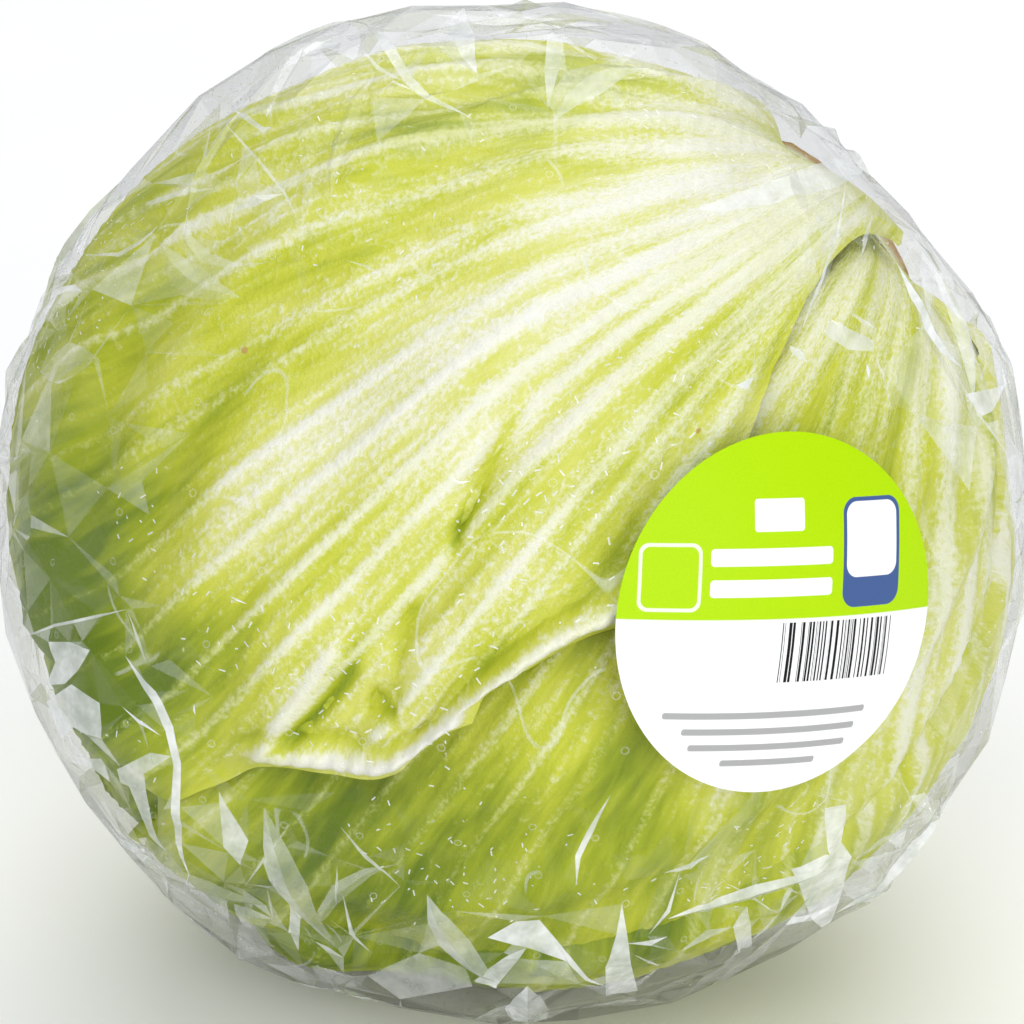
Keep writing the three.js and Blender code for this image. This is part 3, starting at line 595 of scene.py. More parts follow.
class Shader:
    """Short forms for building one material's nodes."""

    def __init__(self, name):
        self.material = bpy.data.materials.new(name)
        self.material.use_nodes = True
        self.nodes = self.material.node_tree.nodes
        self.nodes.clear()
        self.output = self.nodes.new("ShaderNodeOutputMaterial")

    def feed(self, socket, value):
        if isinstance(value, bpy.types.NodeSocket):
            self.material.node_tree.links.new(value, socket)
        else:
            socket.default_value = value

    def node(self, kind, inputs=(), **settings):
        node = self.nodes.new(kind)
        for key, value in settings.items():
            setattr(node, key, value)
        for key, value in dict(inputs).items():
            self.feed(node.inputs[key], value)
        return node

    def math(self, operation, *values, clamp=False):
        inputs = dict(enumerate(values))
        return self.node("ShaderNodeMath", inputs, operation=operation, use_clamp=clamp).outputs[0]

    def add(self, a, b):
        return self.math("ADD", a, b)

    def less(self, a, b):
        return self.math("SUBTRACT", a, b)

    def times(self, a, b):
        return self.math("MULTIPLY", a, b)

    def most(self, a, b):
        return self.math("MAXIMUM", a, b)

    def apart(self, a, b):
        """How far two values are from each other."""
        return self.math("ABSOLUTE", self.less(a, b))

    def line(self, value, slope, start):
        return self.math("MULTIPLY_ADD", value, slope, start)

    def sway(self, start, noise, size):
        """start, taken up and down by a noise."""
        return self.line(self.less(noise, 0.5), size, start)

    def attribute(self, name, output="Fac"):
        return self.node("ShaderNodeAttribute", attribute_name=name).outputs[output]

    def noise(self, vector, scale, detail=3.0, rough=0.55):
        inputs = {"Vector": vector, "Scale": scale, "Detail": detail, "Roughness": rough}
        return self.node("ShaderNodeTexNoise", inputs).outputs["Fac"]

    def scaled(self, vector, size):
        inputs = {"Vector": vector, "Scale": size}
        return self.node("ShaderNodeMapping", inputs).outputs[0]

    def voronoi(self, vector, randomness=1.0):
        inputs = {"Vector": vector, "Scale": 1.0, "Randomness": randomness}
        return self.node("ShaderNodeTexVoronoi", inputs, voronoi_dimensions="2D").outputs

    def axes(self, vector):
        return self.node("ShaderNodeSeparateXYZ", {0: vector}).outputs

    def parts(self, colour):
        return self.node("ShaderNodeSeparateColor", {0: colour}).outputs

    def length(self, x, y):
        return self.math("SQRT", self.add(self.times(x, x), self.times(y, y)))

    def ramp(self, value, stops):
        node = self.node("ShaderNodeValToRGB", {"Fac": value})
        elements = node.color_ramp.elements
        while len(elements) < len(stops):
            elements.new(0.5)
        for element, (at, colour) in zip(elements, stops):
            element.position, element.color = at, rgb(*colour)
        return node.outputs["Color"]

    def steps(self, value, low, high):
        """From 0 at low to 1 at high, smoothly."""
        inputs = {"Value": value, "From Min": low, "From Max": high}
        return self.node("ShaderNodeMapRange", inputs, interpolation_type="SMOOTHSTEP").outputs[0]

    def mix(self, share, a, b):
        node = self.node("ShaderNodeMix", data_type="RGBA")
        self.feed(node.inputs[0], share)
        self.feed(node.inputs[6], a)
        self.feed(node.inputs[7], b)
        return node.outputs[2]

    def mix_shader(self, share, a, b):
        return self.node("ShaderNodeMixShader", {0: share, 1: a, 2: b}).outputs[0]

    def clear(self, colour):
        return self.node("ShaderNodeBsdfTransparent", {"Color": colour}).outputs[0]

    def bump(self, height, strength, distance):
        inputs = {"Height": height, "Strength": strength, "Distance": distance}
        return self.node("ShaderNodeBump", inputs).outputs[0]

    def principled(self, **inputs):
        named = {key.replace("_", " "): value for key, value in inputs.items()}
        return self.node("ShaderNodeBsdfPrincipled", named).outputs[0]

    def finish(self, surface):
        self.feed(self.output.inputs["Surface"], surface)
        return self.material


def rgb(red, green, blue):
    """A colour as seen on a screen, from 0 to 255, as the shader's own values."""
    values = np.array([red, green, blue]) / 255
    linear = np.where(values <= 0.04045, values / 12.92, ((values + 0.055) / 1.055) ** 2.4)
    return (*linear.tolist(), 1.0)


PANEL_GREENS = [
    (0.0, (224, 225, 150)),
    (0.25, (214, 216, 104)),
    (0.5, (196, 202, 58)),
    (0.75, (156, 170, 32)),
    (1.0, (104, 127, 18)),
]
VEIN_GREENS = [
    (0.0, (238, 237, 224)),
    (0.4, (230, 231, 194)),
    (0.7, (206, 211, 130)),
    (1.0, (162, 176, 82)),
]


def leaf_material(name, paler=0.0):
    """Blade and ribs of a lettuce leaf: a net of pale veins, mottled green between them, flecks."""
    s = Shader(name)
    place = s.attribute("place", "Vector")
    vein, green = s.attribute("vein"), s.attribute("green")
    broad = s.noise(s.scaled(place, (0.10, 0.03, 1)), 1.0, 1.0)
    streak = s.noise(s.scaled(place, (0.55, 0.08, 1)), 1.0, 2.0, 0.6)
    crumble = s.noise(s.scaled(place, (1.4, 1.0, 1)), 1.0, 2.0, 0.68)
    tone = s.sway(s.sway(green, broad, 0.95), streak, 0.6)
    tone = s.math("SUBTRACT", tone, paler, clamp=True)
    whiter = s.line(s.less(0.35, tone), 0.6, s.sway(vein, crumble, 1.45))
    whiter = s.steps(whiter, 0.18, 0.95)
    colour = s.mix(whiter, s.ramp(tone, PANEL_GREENS), s.ramp(tone, VEIN_GREENS))
    speck = s.voronoi(s.scaled(place, (0.11, 0.09, 1)))
    dot = s.steps(speck["Distance"], 0.06, 0.025)
    rare = s.steps(s.parts(speck["Color"])[0], 0.965, 0.98)
    colour = s.mix(s.times(s.times(dot, rare), 0.65), colour, rgb(176, 120, 58))
    shader = s.principled(
        Base_Color=colour,
        Roughness=s.line(crumble, 0.25, 0.32),
        Normal=s.bump(s.line(vein, 0.4, crumble), 0.6, 0.0004),
        Specular_IOR_Level=0.32,
    )
    return s.finish(shader)


HEART_RIB = 0.35  # height of the ribs on the ball of inner leaves


def make_heart():
    """The ball of inner leaves, with their ribs and low lumps."""
    coarse_rows, coarse_columns = 15, 28
    rows, columns = 105, 168
    coarse_turn, turn = (np.arange(n) * 2 * np.pi / n for n in (coarse_columns, columns))
    coarse_theta = np.arange(coarse_rows + 1) * np.pi / coarse_rows
    theta, phi = np.meshgrid(coarse_theta, coarse_turn, indexing="ij")
    _, radius = frame_radii("inner_head", plant_direction(theta, phi))
    wrap = 4  # columns repeated past both ends, so that the curve round the ball closes smoothly
    padded = np.concatenate([radius[:, -wrap:], radius, radius[:, : wrap + 1]], axis=1)
    per_cell = columns // coarse_columns
    fine = upsample(padded, rows, per_cell * (coarse_columns + 2 * wrap))
    fine = fine[:, wrap * per_cell : wrap * per_cell + columns]

    theta, phi = np.meshgrid(np.linspace(0, np.pi, rows + 1), turn, indexing="ij")
    fan = np.cos(phi * 18 + 1.5 * np.sin(3 * theta))
    ribs = HEART_RIB * smooth(0.2, 1, fan) * smooth(0.25, 0.6, theta) * smooth(3.0, 2.4, theta)
    direction = plant_direction(theta, phi)
    lumps = noise(direction * 9, 21) * 0.3 + noise(direction * 26, 22) * 0.15
    skin = fine + ribs + lumps * np.sin(theta) - 0.25

    def flat(values):
        """Values for the rings' points and then for the two poles."""
        rings = values[1:-1].reshape(-1, *values.shape[2:])
        return np.concatenate([rings, values[:1, 0], values[-1:, 0]])

    at = on_rings(columns)
    top, bottom = at(rows - 1, 0), at(rows - 1, 1)
    faces = grid_faces(rows - 2, columns, at)
    for j in range(columns):
        faces.append((top, at(0, j), at(0, j + 1)))
        faces.append((bottom, at(rows - 2, j + 1), at(rows - 2, j)))
    obj = make_object("heart_ball", flat(direction * skin[..., None]) + CENTRE, faces, "inner_head", 60)
    place = flat_place(phi * HEAD_RADIUS * np.sin(theta), theta * HEAD_RADIUS)
    add_values(obj, "place", flat(place))
    add_values(obj, "vein", flat(ribs / HEART_RIB))
    add_values(obj, "green", flat(0.14 + 0 * ribs))
    return obj


STEM_TOP = 67.5  # the cut, from the head's centre


def make_stem():
    """The cut butt: a stub with a rounded rim and a slightly hollow, rough cut."""
    foot = node_points("stem").dot(STEM_AXIS).min()
    sides, rows = 120, 64
    outline = np.array([
        (9.3, foot),
        (12.9, foot + 3),
        (15.0, STEM_TOP - 2.2),
        (14.55, STEM_TOP - 0.6),
        (13.2, STEM_TOP),
        (6.75, STEM_TOP - 0.5),
        (0.01, STEM_TOP - 0.9),
    ])
    lengths = course_lengths(outline)
    turn = np.arange(sides) * 2 * np.pi / sides
    evenly = np.linspace(0, lengths[-1], rows)
    reach, height = (np.interp(evenly, lengths, outline[:, k])[:, None] + 0 * turn for k in (0, 1))
    side_share = smooth(STEM_TOP - 0.3, STEM_TOP - 2, height)
    grain = plane_noise(reach / 2.2 * np.cos(turn), reach / 2.2 * np.sin(turn), 31)
    grooves = plane_noise(5 * np.cos(turn) + 0 * reach, 5 * np.sin(turn) + 0 * reach, 32)
    reach = reach + side_share * (0.5 * grooves - 0.4)
    height = height + (1 - side_share) * (0.22 * grain - 0.25)
    local = np.stack([reach * np.cos(turn), reach * np.sin(turn), height], axis=-1).reshape(-1, 3)

    at = on_rings(sides)
    faces = grid_faces(rows - 1, sides, at, flip=True)
    faces.append(tuple(range(sides - 1, -1, -1)))
    faces.append(tuple(at(rows - 1, k) for k in range(sides)))
    obj = make_object("stem_butt", local @ PLANT + CENTRE, faces, "stem", 50)
    add_values(obj, "place", local)
    return obj


def stem_material():
    """Pale flesh with a rusty cut face: a ring of bundles, browned towards the rim."""
    s = Shader("stem_flesh")
    place = s.attribute("place", "Vector")
    x, y, height = s.axes(place)
    radius = s.length(x, y)
    cut = s.steps(height, STEM_TOP - 2.1, STEM_TOP - 0.9)
    grain = s.noise(place, 0.6, 5.0, 0.65)
    fine = s.noise(place, 2.4, 4.0, 0.6)
    ring = s.steps(s.apart(radius, 8.6), 1.6, 0.3)
    brown = s.line(ring, 0.35, s.steps(radius, 11.2, 14.2))
    brown = s.sway(brown, grain, 1.4)
    face = s.ramp(brown, [(0.0, (226, 220, 178)), (0.5, (208, 190, 132)), (1.0, (176, 136, 84))])
    side = s.ramp(fine, [(0.2, (214, 216, 168)), (0.8, (238, 238, 214))])
    shader = s.principled(
        Base_Color=s.mix(cut, side, face),
        Roughness=s.line(fine, 0.2, 0.5),
        Normal=s.bump(s.add(grain, fine), 0.5, 0.0005),
        Subsurface_Weight=0.1,
        Subsurface_Radius=(1.0, 0.8, 0.5),
        Subsurface_Scale=0.002,
    )
    return s.finish(shader)


# The film

FILM_WALL = 0.07  # the film's thickness, a little more than the real one's
FILM_INSET = 0.25  # how far inside the frame's film the fine one runs, to leave room for its folds
GATHER_ANGLE = 33  # degrees from the gather's axis to where its pleats begin
MOUTH_ANGLE = 5
MOUTH_FLAT = 6.5  # degrees from that axis inside which the frame's film turns up into the tuft
PLEAT_COLUMNS = 144
PLEAT_ROWS = 26
PLEAT_TURN = np.arange(PLEAT_COLUMNS) * 2 * np.pi / PLEAT_COLUMNS
TUFT_ROWS = 14
TUFT_HEIGHT = 5.0
TUFT_RISES = (0, 2.2, 5.4)  # heights above the gather's mouth at which the next two are given
TUFT_REACHES = (6.4, 6.2, 8.3)  # how far the tuft stands from its axis
TUFT_RUFFLES = (0.3, 0.7, 1.5)  # how deep its waves are
GATHER_SIDE = unit(np.array([-GATHER_AXIS[1], GATHER_AXIS[0], 0]))
GATHER_UP = np.cross(GATHER_AXIS, GATHER_SIDE)


def to_plane(d):
    """Directions laid out flat, seen from the gather, which goes to infinity."""
    z = d @ GATHER_AXIS
    return np.stack([d @ GATHER_SIDE, d @ GATHER_UP], axis=-1) / (1 - z)[..., None]


def from_plane(p):
    s = (p**2).sum(axis=-1)
    x, y = (2 * p[..., k] / (s + 1) for k in (0, 1))
    z = (s - 1) / (s + 1)
    return x[..., None] * GATHER_SIDE + y[..., None] * GATHER_UP + z[..., None] * GATHER_AXIS


def gather_ring(angle):
    """Directions at an angle in degrees from the gather's axis, all round it."""
    aside = np.cos(PLEAT_TURN)[:, None] * GATHER_SIDE + np.sin(PLEAT_TURN)[:, None] * GATHER_UP
    return np.cos(angle * DEG) * GATHER_AXIS + np.sin(angle * DEG) * aside


def film_frame():
    """The outer faces of the frame's film: a tree to cast rays on, corner directions and edges."""
    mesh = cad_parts["film"].data
    points = node_points("film")
    faces = [tuple(p.vertices) for p in mesh.polygons]
    outer, edges = [], set()
    keys, corners = {}, []

    def corner(i):
        key = tuple(np.round(points[i], 2))
        if key not in keys:
            keys[key] = len(corners)
            corners.append(unit(points[i]))
        return keys[key]

    for face in faces:
        a, b, c = points[list(face)]
        normal = np.cross(b - a, c - a)
        middle = (a + b + c) / 3
        if normal.dot(middle) > 0.3 * np.linalg.norm(normal) * np.linalg.norm(middle):
            outer.append(face)
            ids = [corner(i) for i in face]
            for p, q in zip(ids, ids[1:] + ids[:1]):
                edges.add((min(p, q), max(p, q)))
    tree = BVHTree.FromPolygons([Vector(p) for p in points], outer)
    return tree, np.array(corners), sorted(edges)


def film_radius(tree, directions):
    """Radius of the frame's film along each direction."""
    out = []
    for d in directions:
        hit = tree.ray_cast(Vector(d * 110), Vector(-d))[0]
        out.append(hit.length if hit else FILM_RADIUS)
    return np.array(out)


def even_film_radius(tree, directions):
    """The frame's film with its facets smoothed away where it is tight."""
    own = film_radius(tree, directions)
    tight = 1 - smooth(0.0, 0.55, looseness(directions))
    near = np.flatnonzero(tight > 0)
    part = directions[near]
    side = unit(np.cross(part, [0.3, 0.1, 0.9]))
    up = np.cross(part, side)
    total = own[near].copy()
    rings = ((0.05, 6), (0.1, 8))  # reach from the direction, and how many others are taken there
    for reach, count in rings:
        for turn in np.arange(count) * 2 * np.pi / count:
            total += film_radius(tree, unit(part + reach * (np.cos(turn) * side + np.sin(turn) * up)))
    even = total / (1 + sum(count for _, count in rings))
    own[near] += tight[near] * (even - own[near])
    return own


# Flashes on the film where a flat bit of it catches the light, as the photograph shows them: share of
# white and outline in the photograph's pixels
FLASHES = {
    "low_arch": (0.50, [(487, 946), (516, 933), (540, 933), (609, 988), (567, 966), (527, 953)]),
    "low_arch_foot": (0.42, [(474, 980), (502, 960), (527, 953), (496, 985)]),
    "low_wedge": (0.46, [(624, 911), (630, 960), (639, 995), (606, 995), (605, 966)]),
    "low_tooth": (0.34, [(734, 929), (749, 909), (752, 946), (738, 951)]),
    "right_fan": (0.46, [(792, 870), (825, 850), (825, 808), (844, 800), (841, 842), (851, 856),
                         (830, 935), (811, 918)]),
    "right_fan_tip": (0.3, [(881, 836), (900, 822), (905, 812), (893, 842)]),
    "left_shard": (0.40, [(218, 792), (249, 840), (241, 865), (228, 842)]),
    "left_shard_low": (0.40, [(289, 908), (300, 920), (296, 956), (287, 935)]),
    "pocket_head": (0.46, [(54, 640), (76, 640), (93, 649), (85, 668), (72, 681), (58, 681), (62, 660)]),
    "pocket_face": (0.46, [(54, 699), (80, 681), (104, 701), (111, 733), (82, 723), (72, 733)]),
    "pocket_bar": (0.40, [(74, 750), (113, 753), (118, 777), (104, 762), (80, 757)]),
    "pocket_foot": (0.36, [(125, 764), (156, 749), (173, 755), (152, 768), (173, 853), (139, 779),
                           (128, 777)]),
    "top_fold": (0.34, [(700, 201), (748, 184), (802, 165), (845, 150), (879, 158), (841, 184),
                        (785, 196), (724, 207)]),
    "top_fold_back": (0.12, [(839, 190), (845, 236), (826, 290), (804, 330), (830, 240)]),
    "hand": (0.36, [(836, 316), (845, 322), (882, 337), (879, 349), (855, 347), (826, 332)]),
    "spark_wedge": (0.62, [(736, 385), (753, 378), (746, 390)]),
    "star": (0.36, [(792, 344), (802, 349), (811, 363), (792, 354)]),
    "right_curl": (0.48, [(969, 393), (1003, 385), (991, 412), (979, 417)]),
    "upper_left_leaf": (0.30, [(140, 196), (181, 185), (207, 181), (175, 193), (143, 200)]),
    "upper_left_flake": (0.34, [(226, 201), (248, 190), (277, 185), (261, 196), (231, 202)]),
    "crown_band": (0.30, [(366, 22), (395, 46), (411, 67), (430, 88), (473, 108), (424, 92),
                          (402, 72), (384, 50)]),
    "crown_right": (0.26, [(548, 30), (566, 24), (560, 60), (549, 96), (545, 60)]),
}
# Thin bright lines where folds catch the light, painted white as highlights: share of white, width and
# course in the photograph's pixels
STREAKS = {
    "low_streak": (0.45, 6, [(613, 800), (593, 845), (581, 873), (579, 900)]),
    "low_leaf": (0.40, 6, [(668, 884), (693, 873), (713, 859)]),
    "low_crook": (0.40, 4, [(684, 881), (670, 915), (647, 935)]),
    "low_hair": (0.25, 2, [(708, 876), (700, 895), (696, 918)]),
    "low_dash": (0.55, 5, [(626, 940), (650, 941), (668, 938)]),
    "low_tick": (0.40, 3, [(634, 954), (662, 968)]),
    "low_left_cross": (0.34, 4, [(335, 834), (362, 868), (396, 901)]),
    "low_left_hook": (0.34, 4, [(340, 899), (352, 930), (371, 957)]),
    "low_left_tick": (0.34, 3, [(333, 875), (335, 908)]),
    "low_left_hair": (0.30, 3, [(266, 890), (270, 926)]),
    "low_left_foot": (0.36, 5, [(313, 945), (343, 959)]),
    "knot_left": (0.30, 3, [(781, 914), (752, 900), (729, 890)]),
    "knot_up": (0.34, 4, [(781, 914), (784, 897), (790, 888), (798, 892)]),
    "knot_low": (0.30, 3, [(781, 914), (765, 930), (752, 941)]),
    "lap_edge_top": (0.40, 3, [(22, 638), (60, 624), (98, 616), (124, 610)]),
    "lap_edge_side": (0.34, 3, [(124, 610), (136, 640), (145, 664)]),
    "lap_ribbon": (0.52, 7, [(124, 655), (152, 694), (169, 729), (180, 762), (185, 820), (187, 884)]),
    "lap_spark": (0.85, 3, [(125, 705), (143, 720), (162, 735)]),
    "left_scratch": (0.25, 3, [(288, 827), (262, 862), (239, 894)]),
    "left_dash": (0.8, 2, [(221, 599), (239, 607)]),
    "left_short_dash": (0.7, 2, [(189, 707), (191, 718)]),
    "left_low_bit": (0.40, 3, [(273, 875), (280, 892)]),
    "upper_line": (0.34, 3, [(218, 115), (253, 153), (277, 182), (293, 212)]),
    "upper_hook": (0.42, 5, [(226, 102), (246, 118), (262, 128), (272, 126)]),
    "upper_tick": (0.40, 4, [(266, 118), (278, 99)]),
    "upper_left_sickle": (0.34, 5, [(156, 222), (138, 241), (116, 253), (80, 253)]),
    "crown_fork": (0.30, 4, [(355, 46), (376, 62), (403, 71)]),
    "crown_twig": (0.26, 3, [(381, 80), (390, 72), (427, 86)]),
    "scar_line": (0.24, 3, [(339, 250), (360, 256), (387, 268)]),
    "fold_line": (0.42, 3, [(850, 170), (842, 230), (822, 285), (804, 330)]),
    "fold_line_right": (0.30, 5, [(879, 208), (870, 235), (867, 252)]),
    "hand_finger": (0.34, 4, [(853, 308), (868, 318), (884, 325)]),
    "star_spot": (0.85, 4, [(873, 361), (875, 376)]),
    "hand_tail": (0.26, 3, [(879, 349), (889, 371), (896, 414)]),
    "right_line": (0.34, 3, [(952, 347), (979, 417), (1008, 458)]),
    "centre_spark": (0.7, 3, [(447, 476), (458, 482), (470, 480)]),
    "centre_tick": (0.5, 2, [(330, 215), (338, 206), (346, 203)]),
}


def inside_outline(points, corners):
    """Whether each flat point lies inside an outline."""
    inside = np.zeros(len(points), bool)
    x, y = points[:, 0], points[:, 1]
    for (x0, y0), (x1, y1) in zip(corners, np.roll(corners, -1, axis=0)):
        crossed = x < x0 + (y - y0) / (y1 - y0 + 1e-12) * (x1 - x0)
        inside ^= ((y0 > y) != (y1 > y)) & crossed
    return inside


def streak_outline(course, width):
    """Outline of a band along a course, pointed at both ends."""
    course = np.array(course, float)
    if len(course) == 2:
        course = np.array([course[0], course.mean(axis=0), course[1]])
    way = unit(course[2:] - course[:-2])
    side = np.stack([-way[:, 1], way[:, 0]], axis=-1) * width / 2
    return np.concatenate([course[:1], course[1:-1] + side, course[-1:], (course[1:-1] - side)[::-1]])


class Folds:
    """Sharp folds in the film: each is a ridge between two flanks that run out at both ends. Flashes
    are flat patches with an outline of their own."""

    STEPS = 5

    def __init__(self):
        self.points, self.edges, self.items, self.patches, self.lifts = [], [], [], [], []

    def add_patch(self, outline, milk_and_painted_flash, lift):
        """A patch by its outline in the photograph's pixels; every other corner is lifted, in mm."""
        corners = to_plane(np.array([sight(*pixel) for pixel in outline]))
        start, n = len(self.points), len(corners)
        self.points += list(corners)
        self.edges += [(start + k, start + (k + 1) % n) for k in range(n)]
        self.patches.append((corners, milk_and_painted_flash))
        self.lifts += [(corner, lift * (1 if k % 2 else -0.3)) for k, corner in enumerate(corners)]

    def painted_flash_white(self, d):
        """How white the painted flashes and bright fold lines make the film along each direction."""
        flat, milk_and_painted_flash = to_plane(d), np.zeros(len(d))
        for corners, white in self.patches:
            milk_and_painted_flash = np.where(inside_outline(flat, corners), np.maximum(milk_and_painted_flash, white), milk_and_painted_flash)
        return milk_and_painted_flash

    def add(self, middle, heading, length, width, height, milk_and_painted_flash, bend=0.0):
        """heading is a direction in space that the ridge follows, sizes are in mm on the film."""
        middle = unit(middle)
        along = heading - heading.dot(middle) * middle
        if np.linalg.norm(along) < 1e-3:
            return
        along = unit(along)
        across = np.cross(middle, along)
        s = np.linspace(-1, 1, self.STEPS)
        curve = bend * (1 - s**2)
        lines = []
        for side in (0, -1, 1):
            q = curve + side * width * (1 - np.abs(s) ** 1.5)
            d = unit(middle + (s[:, None] * length / 2 * along + q[:, None] * across) / FILM_RADIUS)
            lines.append(to_plane(d))
        start, n = len(self.points), self.STEPS
        ridge, left, right = lines
        self.points += [*ridge, *left[1:-1], *right[1:-1]]
        for first, last in ((1, n - 1), (n, 2 * n - 2), (2 * n - 2, 3 * n - 4)):
            row = [start, *range(start + first, start + last), start + n - 1]
            self.edges += list(zip(row, row[1:]))
        self.items.append((middle, along, across, length, width, height, milk_and_painted_flash, bend))

    def evaluate(self, d):
        """Height of the folds along each direction, and how milky the film is there."""
        height, milk_and_painted_flash = np.zeros(len(d)), np.zeros(len(d))
        for middle, along, across, length, width, rise, white_haze_and_flash, bend in self.items:
            near = np.flatnonzero(d @ middle > 0.5)
            part = d[near]
            part = part / (part @ middle)[:, None] * FILM_RADIUS
            s = (part @ along) / (length / 2)
            inside = np.abs(s) < 1
            s = np.clip(s, -1, 1)
            reach = width * (1 - np.abs(s) ** 1.5) + 1e-6
            q = (part @ across - bend * (1 - s**2)) / reach
            tent = np.clip(1 - np.abs(q), 0, 1) * inside
            lift = rise * tent * (1 - np.abs(s) ** 2)
            stronger = np.abs(lift) > np.abs(height[near])
            height[near] = np.where(stronger, lift, height[near])
            shade = np.where(q > 0, white_haze_and_flash, 0.55 * white_haze_and_flash) * (tent > 1e-3)
            milk_and_painted_flash[near] = np.maximum(milk_and_painted_flash[near], shade)
        return height, milk_and_painted_flash


def looseness(d):
    """0 where the film is tight, at the front, to 1 where it is loose."""
    angle = np.arccos(np.clip(d @ FRONT, -1, 1)) / DEG
    return smooth(30, 64, angle)


PATCH_LIFT = 0.35  # how far a flash's corners stand up, in mm
STREAK_LIFT = 0.12
FOLD_TRIES = 260
LABEL_CLEAR = 28  # degrees round the label's middle that hold no random folds
FOOT_CLEAR = 22  # the same round the flat spot that the head rests on


def make_folds():
    """The photograph's flashes and streaks, and folds at random, fewer of them in front."""
    folds = Folds()
    for milk_and_painted_flash, outline in FLASHES.values():
        folds.add_patch(outline, milk_and_painted_flash, PATCH_LIFT)
    for milk_and_painted_flash, width, course in STREAKS.values():
        folds.add_patch(streak_outline(course, width), milk_and_painted_flash, STREAK_LIFT)
    random = np.random.default_rng(41)
    for _ in range(FOLD_TRIES):
        d = unit(random.normal(size=3))
        loose = looseness(d)
        if d @ CAMERA_BACK > 0.42 and random.random() < 0.75:
            continue
        clear = (
            d @ GATHER_AXIS < np.cos((GATHER_ANGLE + 4) * DEG)
            and d @ LABEL_AXIS < np.cos(LABEL_CLEAR * DEG)
            and d[2] > -np.cos(FOOT_CLEAR * DEG)
        )
        if not clear or (loose < 0.3 and random.random() < 0.55):
            continue
        rim = np.cross(d, FRONT)
        inward = FRONT - FRONT.dot(d) * d
        turn = random.normal() * 0.9
        heading = np.cos(turn) * unit(inward + 1e-6) + np.sin(turn) * unit(rim + 1e-6)
        length = 10 + 26 * random.random() ** 1.5
        width = (1.3 + 2.6 * random.random()) * (0.5 + 0.5 * loose)
        height = (0.15 + 1.15 * loose) * (0.35 + 0.65 * random.random()) * random.choice([1, 1, -0.6])
        milk_and_painted_flash = (0.1 + 0.5 * random.random() ** 2) * (0.15 + 0.85 * loose)
        folds.add(d, heading, length, width, height, milk_and_painted_flash, bend=2.5 * random.normal())
    return folds


SPREAD_COUNT = 2600
SPREAD_JITTER = 0.9


def even_spread():
    """Directions spread evenly over the part of the head where the film is tight."""
    n = np.arange(SPREAD_COUNT)
    z = 1 - (2 * n + 1) / SPREAD_COUNT
    turn = n * np.pi * (3 - np.sqrt(5))
    reach = np.sqrt(1 - z * z)
    d = np.stack([reach * np.cos(turn), reach * np.sin(turn), z], axis=-1)
    aside = np.stack([scatter(n, 0, k, 81) for k in range(3)], axis=-1) - 0.5
    d = unit(d + SPREAD_JITTER / np.sqrt(SPREAD_COUNT) * aside)
    return d[looseness(d) < 0.6]


def film_body(corners, edges, folds):
    """Points and triangles of the film outside its gather, laid out flat and joined there."""
    keep = corners @ GATHER_AXIS < np.cos((GATHER_ANGLE + 1.5) * DEG)
    renumber = np.cumsum(keep) - 1 + PLEAT_COLUMNS
    fixed = [*to_plane(gather_ring(GATHER_ANGLE)), *to_plane(corners[keep])]
    lines = [(k, (k + 1) % PLEAT_COLUMNS) for k in range(PLEAT_COLUMNS)]
    lines += [(renumber[a], renumber[b]) for a, b in edges if keep[a] and keep[b]]
    start = len(fixed)
    limit = np.sin(GATHER_ANGLE * DEG) / (1 - np.cos(GATHER_ANGLE * DEG)) * 0.985
    inside = np.linalg.norm(folds.points, axis=1) < limit
    lines += [(a + start, b + start) for a, b in folds.edges if inside[a] and inside[b]]
    flat = [Vector(p) for p in to_plane(even_spread())]
    order = {}
    for i, (p, good) in enumerate(zip([*fixed, *folds.points], [True] * start + list(inside))):
        if good:
            order[i] = len(flat)
            flat.append(Vector(p))
    lines = [(order[a], order[b]) for a, b in lines]
    result = delaunay_2d_cdt(flat, lines, [], 1, 1e-5, False)
    return np.array([tuple(p) for p in result[0]]), [tuple(face) for face in result[2]]


def gather_rows(tree):
    """Rings of points: pleats from round the gather in to its mouth, and the tuft out to its edge."""
    turn = PLEAT_TURN
    phase = np.random.default_rng(8).random(PLEAT_COLUMNS)
    fine_pleats = 1 - 4 * np.abs(((np.arange(PLEAT_COLUMNS) / 6 + 0.12 * np.sin(3 * turn)) % 1) - 0.5)
    rows = []
    for angle in np.linspace(GATHER_ANGLE, MOUTH_ANGLE, PLEAT_ROWS + 1)[1:]:
        share = (GATHER_ANGLE - angle) / (GATHER_ANGLE - MOUTH_ANGLE)
        d = gather_ring(angle)
        base = film_radius(tree, gather_ring(max(angle, MOUTH_FLAT)))
        depth = 0.75 * smooth(0, 0.35, share) * smooth(1.05, 0.8, share)
        crumple = 0.35 * noise(d * 16, 51) * smooth(0, 0.3, share)
        radius = base - FILM_INSET + depth * fine_pleats + crumple + 0.2 * (phase - 0.5)
        rows.append(d * radius[:, None])
    mouth = (rows[-1] @ GATHER_AXIS).mean()
    for row in range(1, TUFT_ROWS + 1):
        share = row / TUFT_ROWS
        rise = TUFT_HEIGHT * share
        reach, ruffle = (np.interp(rise, TUFT_RISES, values) for values in (TUFT_REACHES, TUFT_RUFFLES))
        wave = np.cos(12 * turn + 0.4 * share) * ruffle + 0.5 * share * np.sin(31 * turn + 2 * share)
        high = mouth + rise + 0.4 * share * np.sin(17 * turn)
        rows.append(
            GATHER_AXIS * high[:, None]
            + ((reach + wave) * np.cos(turn))[:, None] * GATHER_SIDE
            + ((reach + wave) * np.sin(turn))[:, None] * GATHER_UP
        )
    return rows


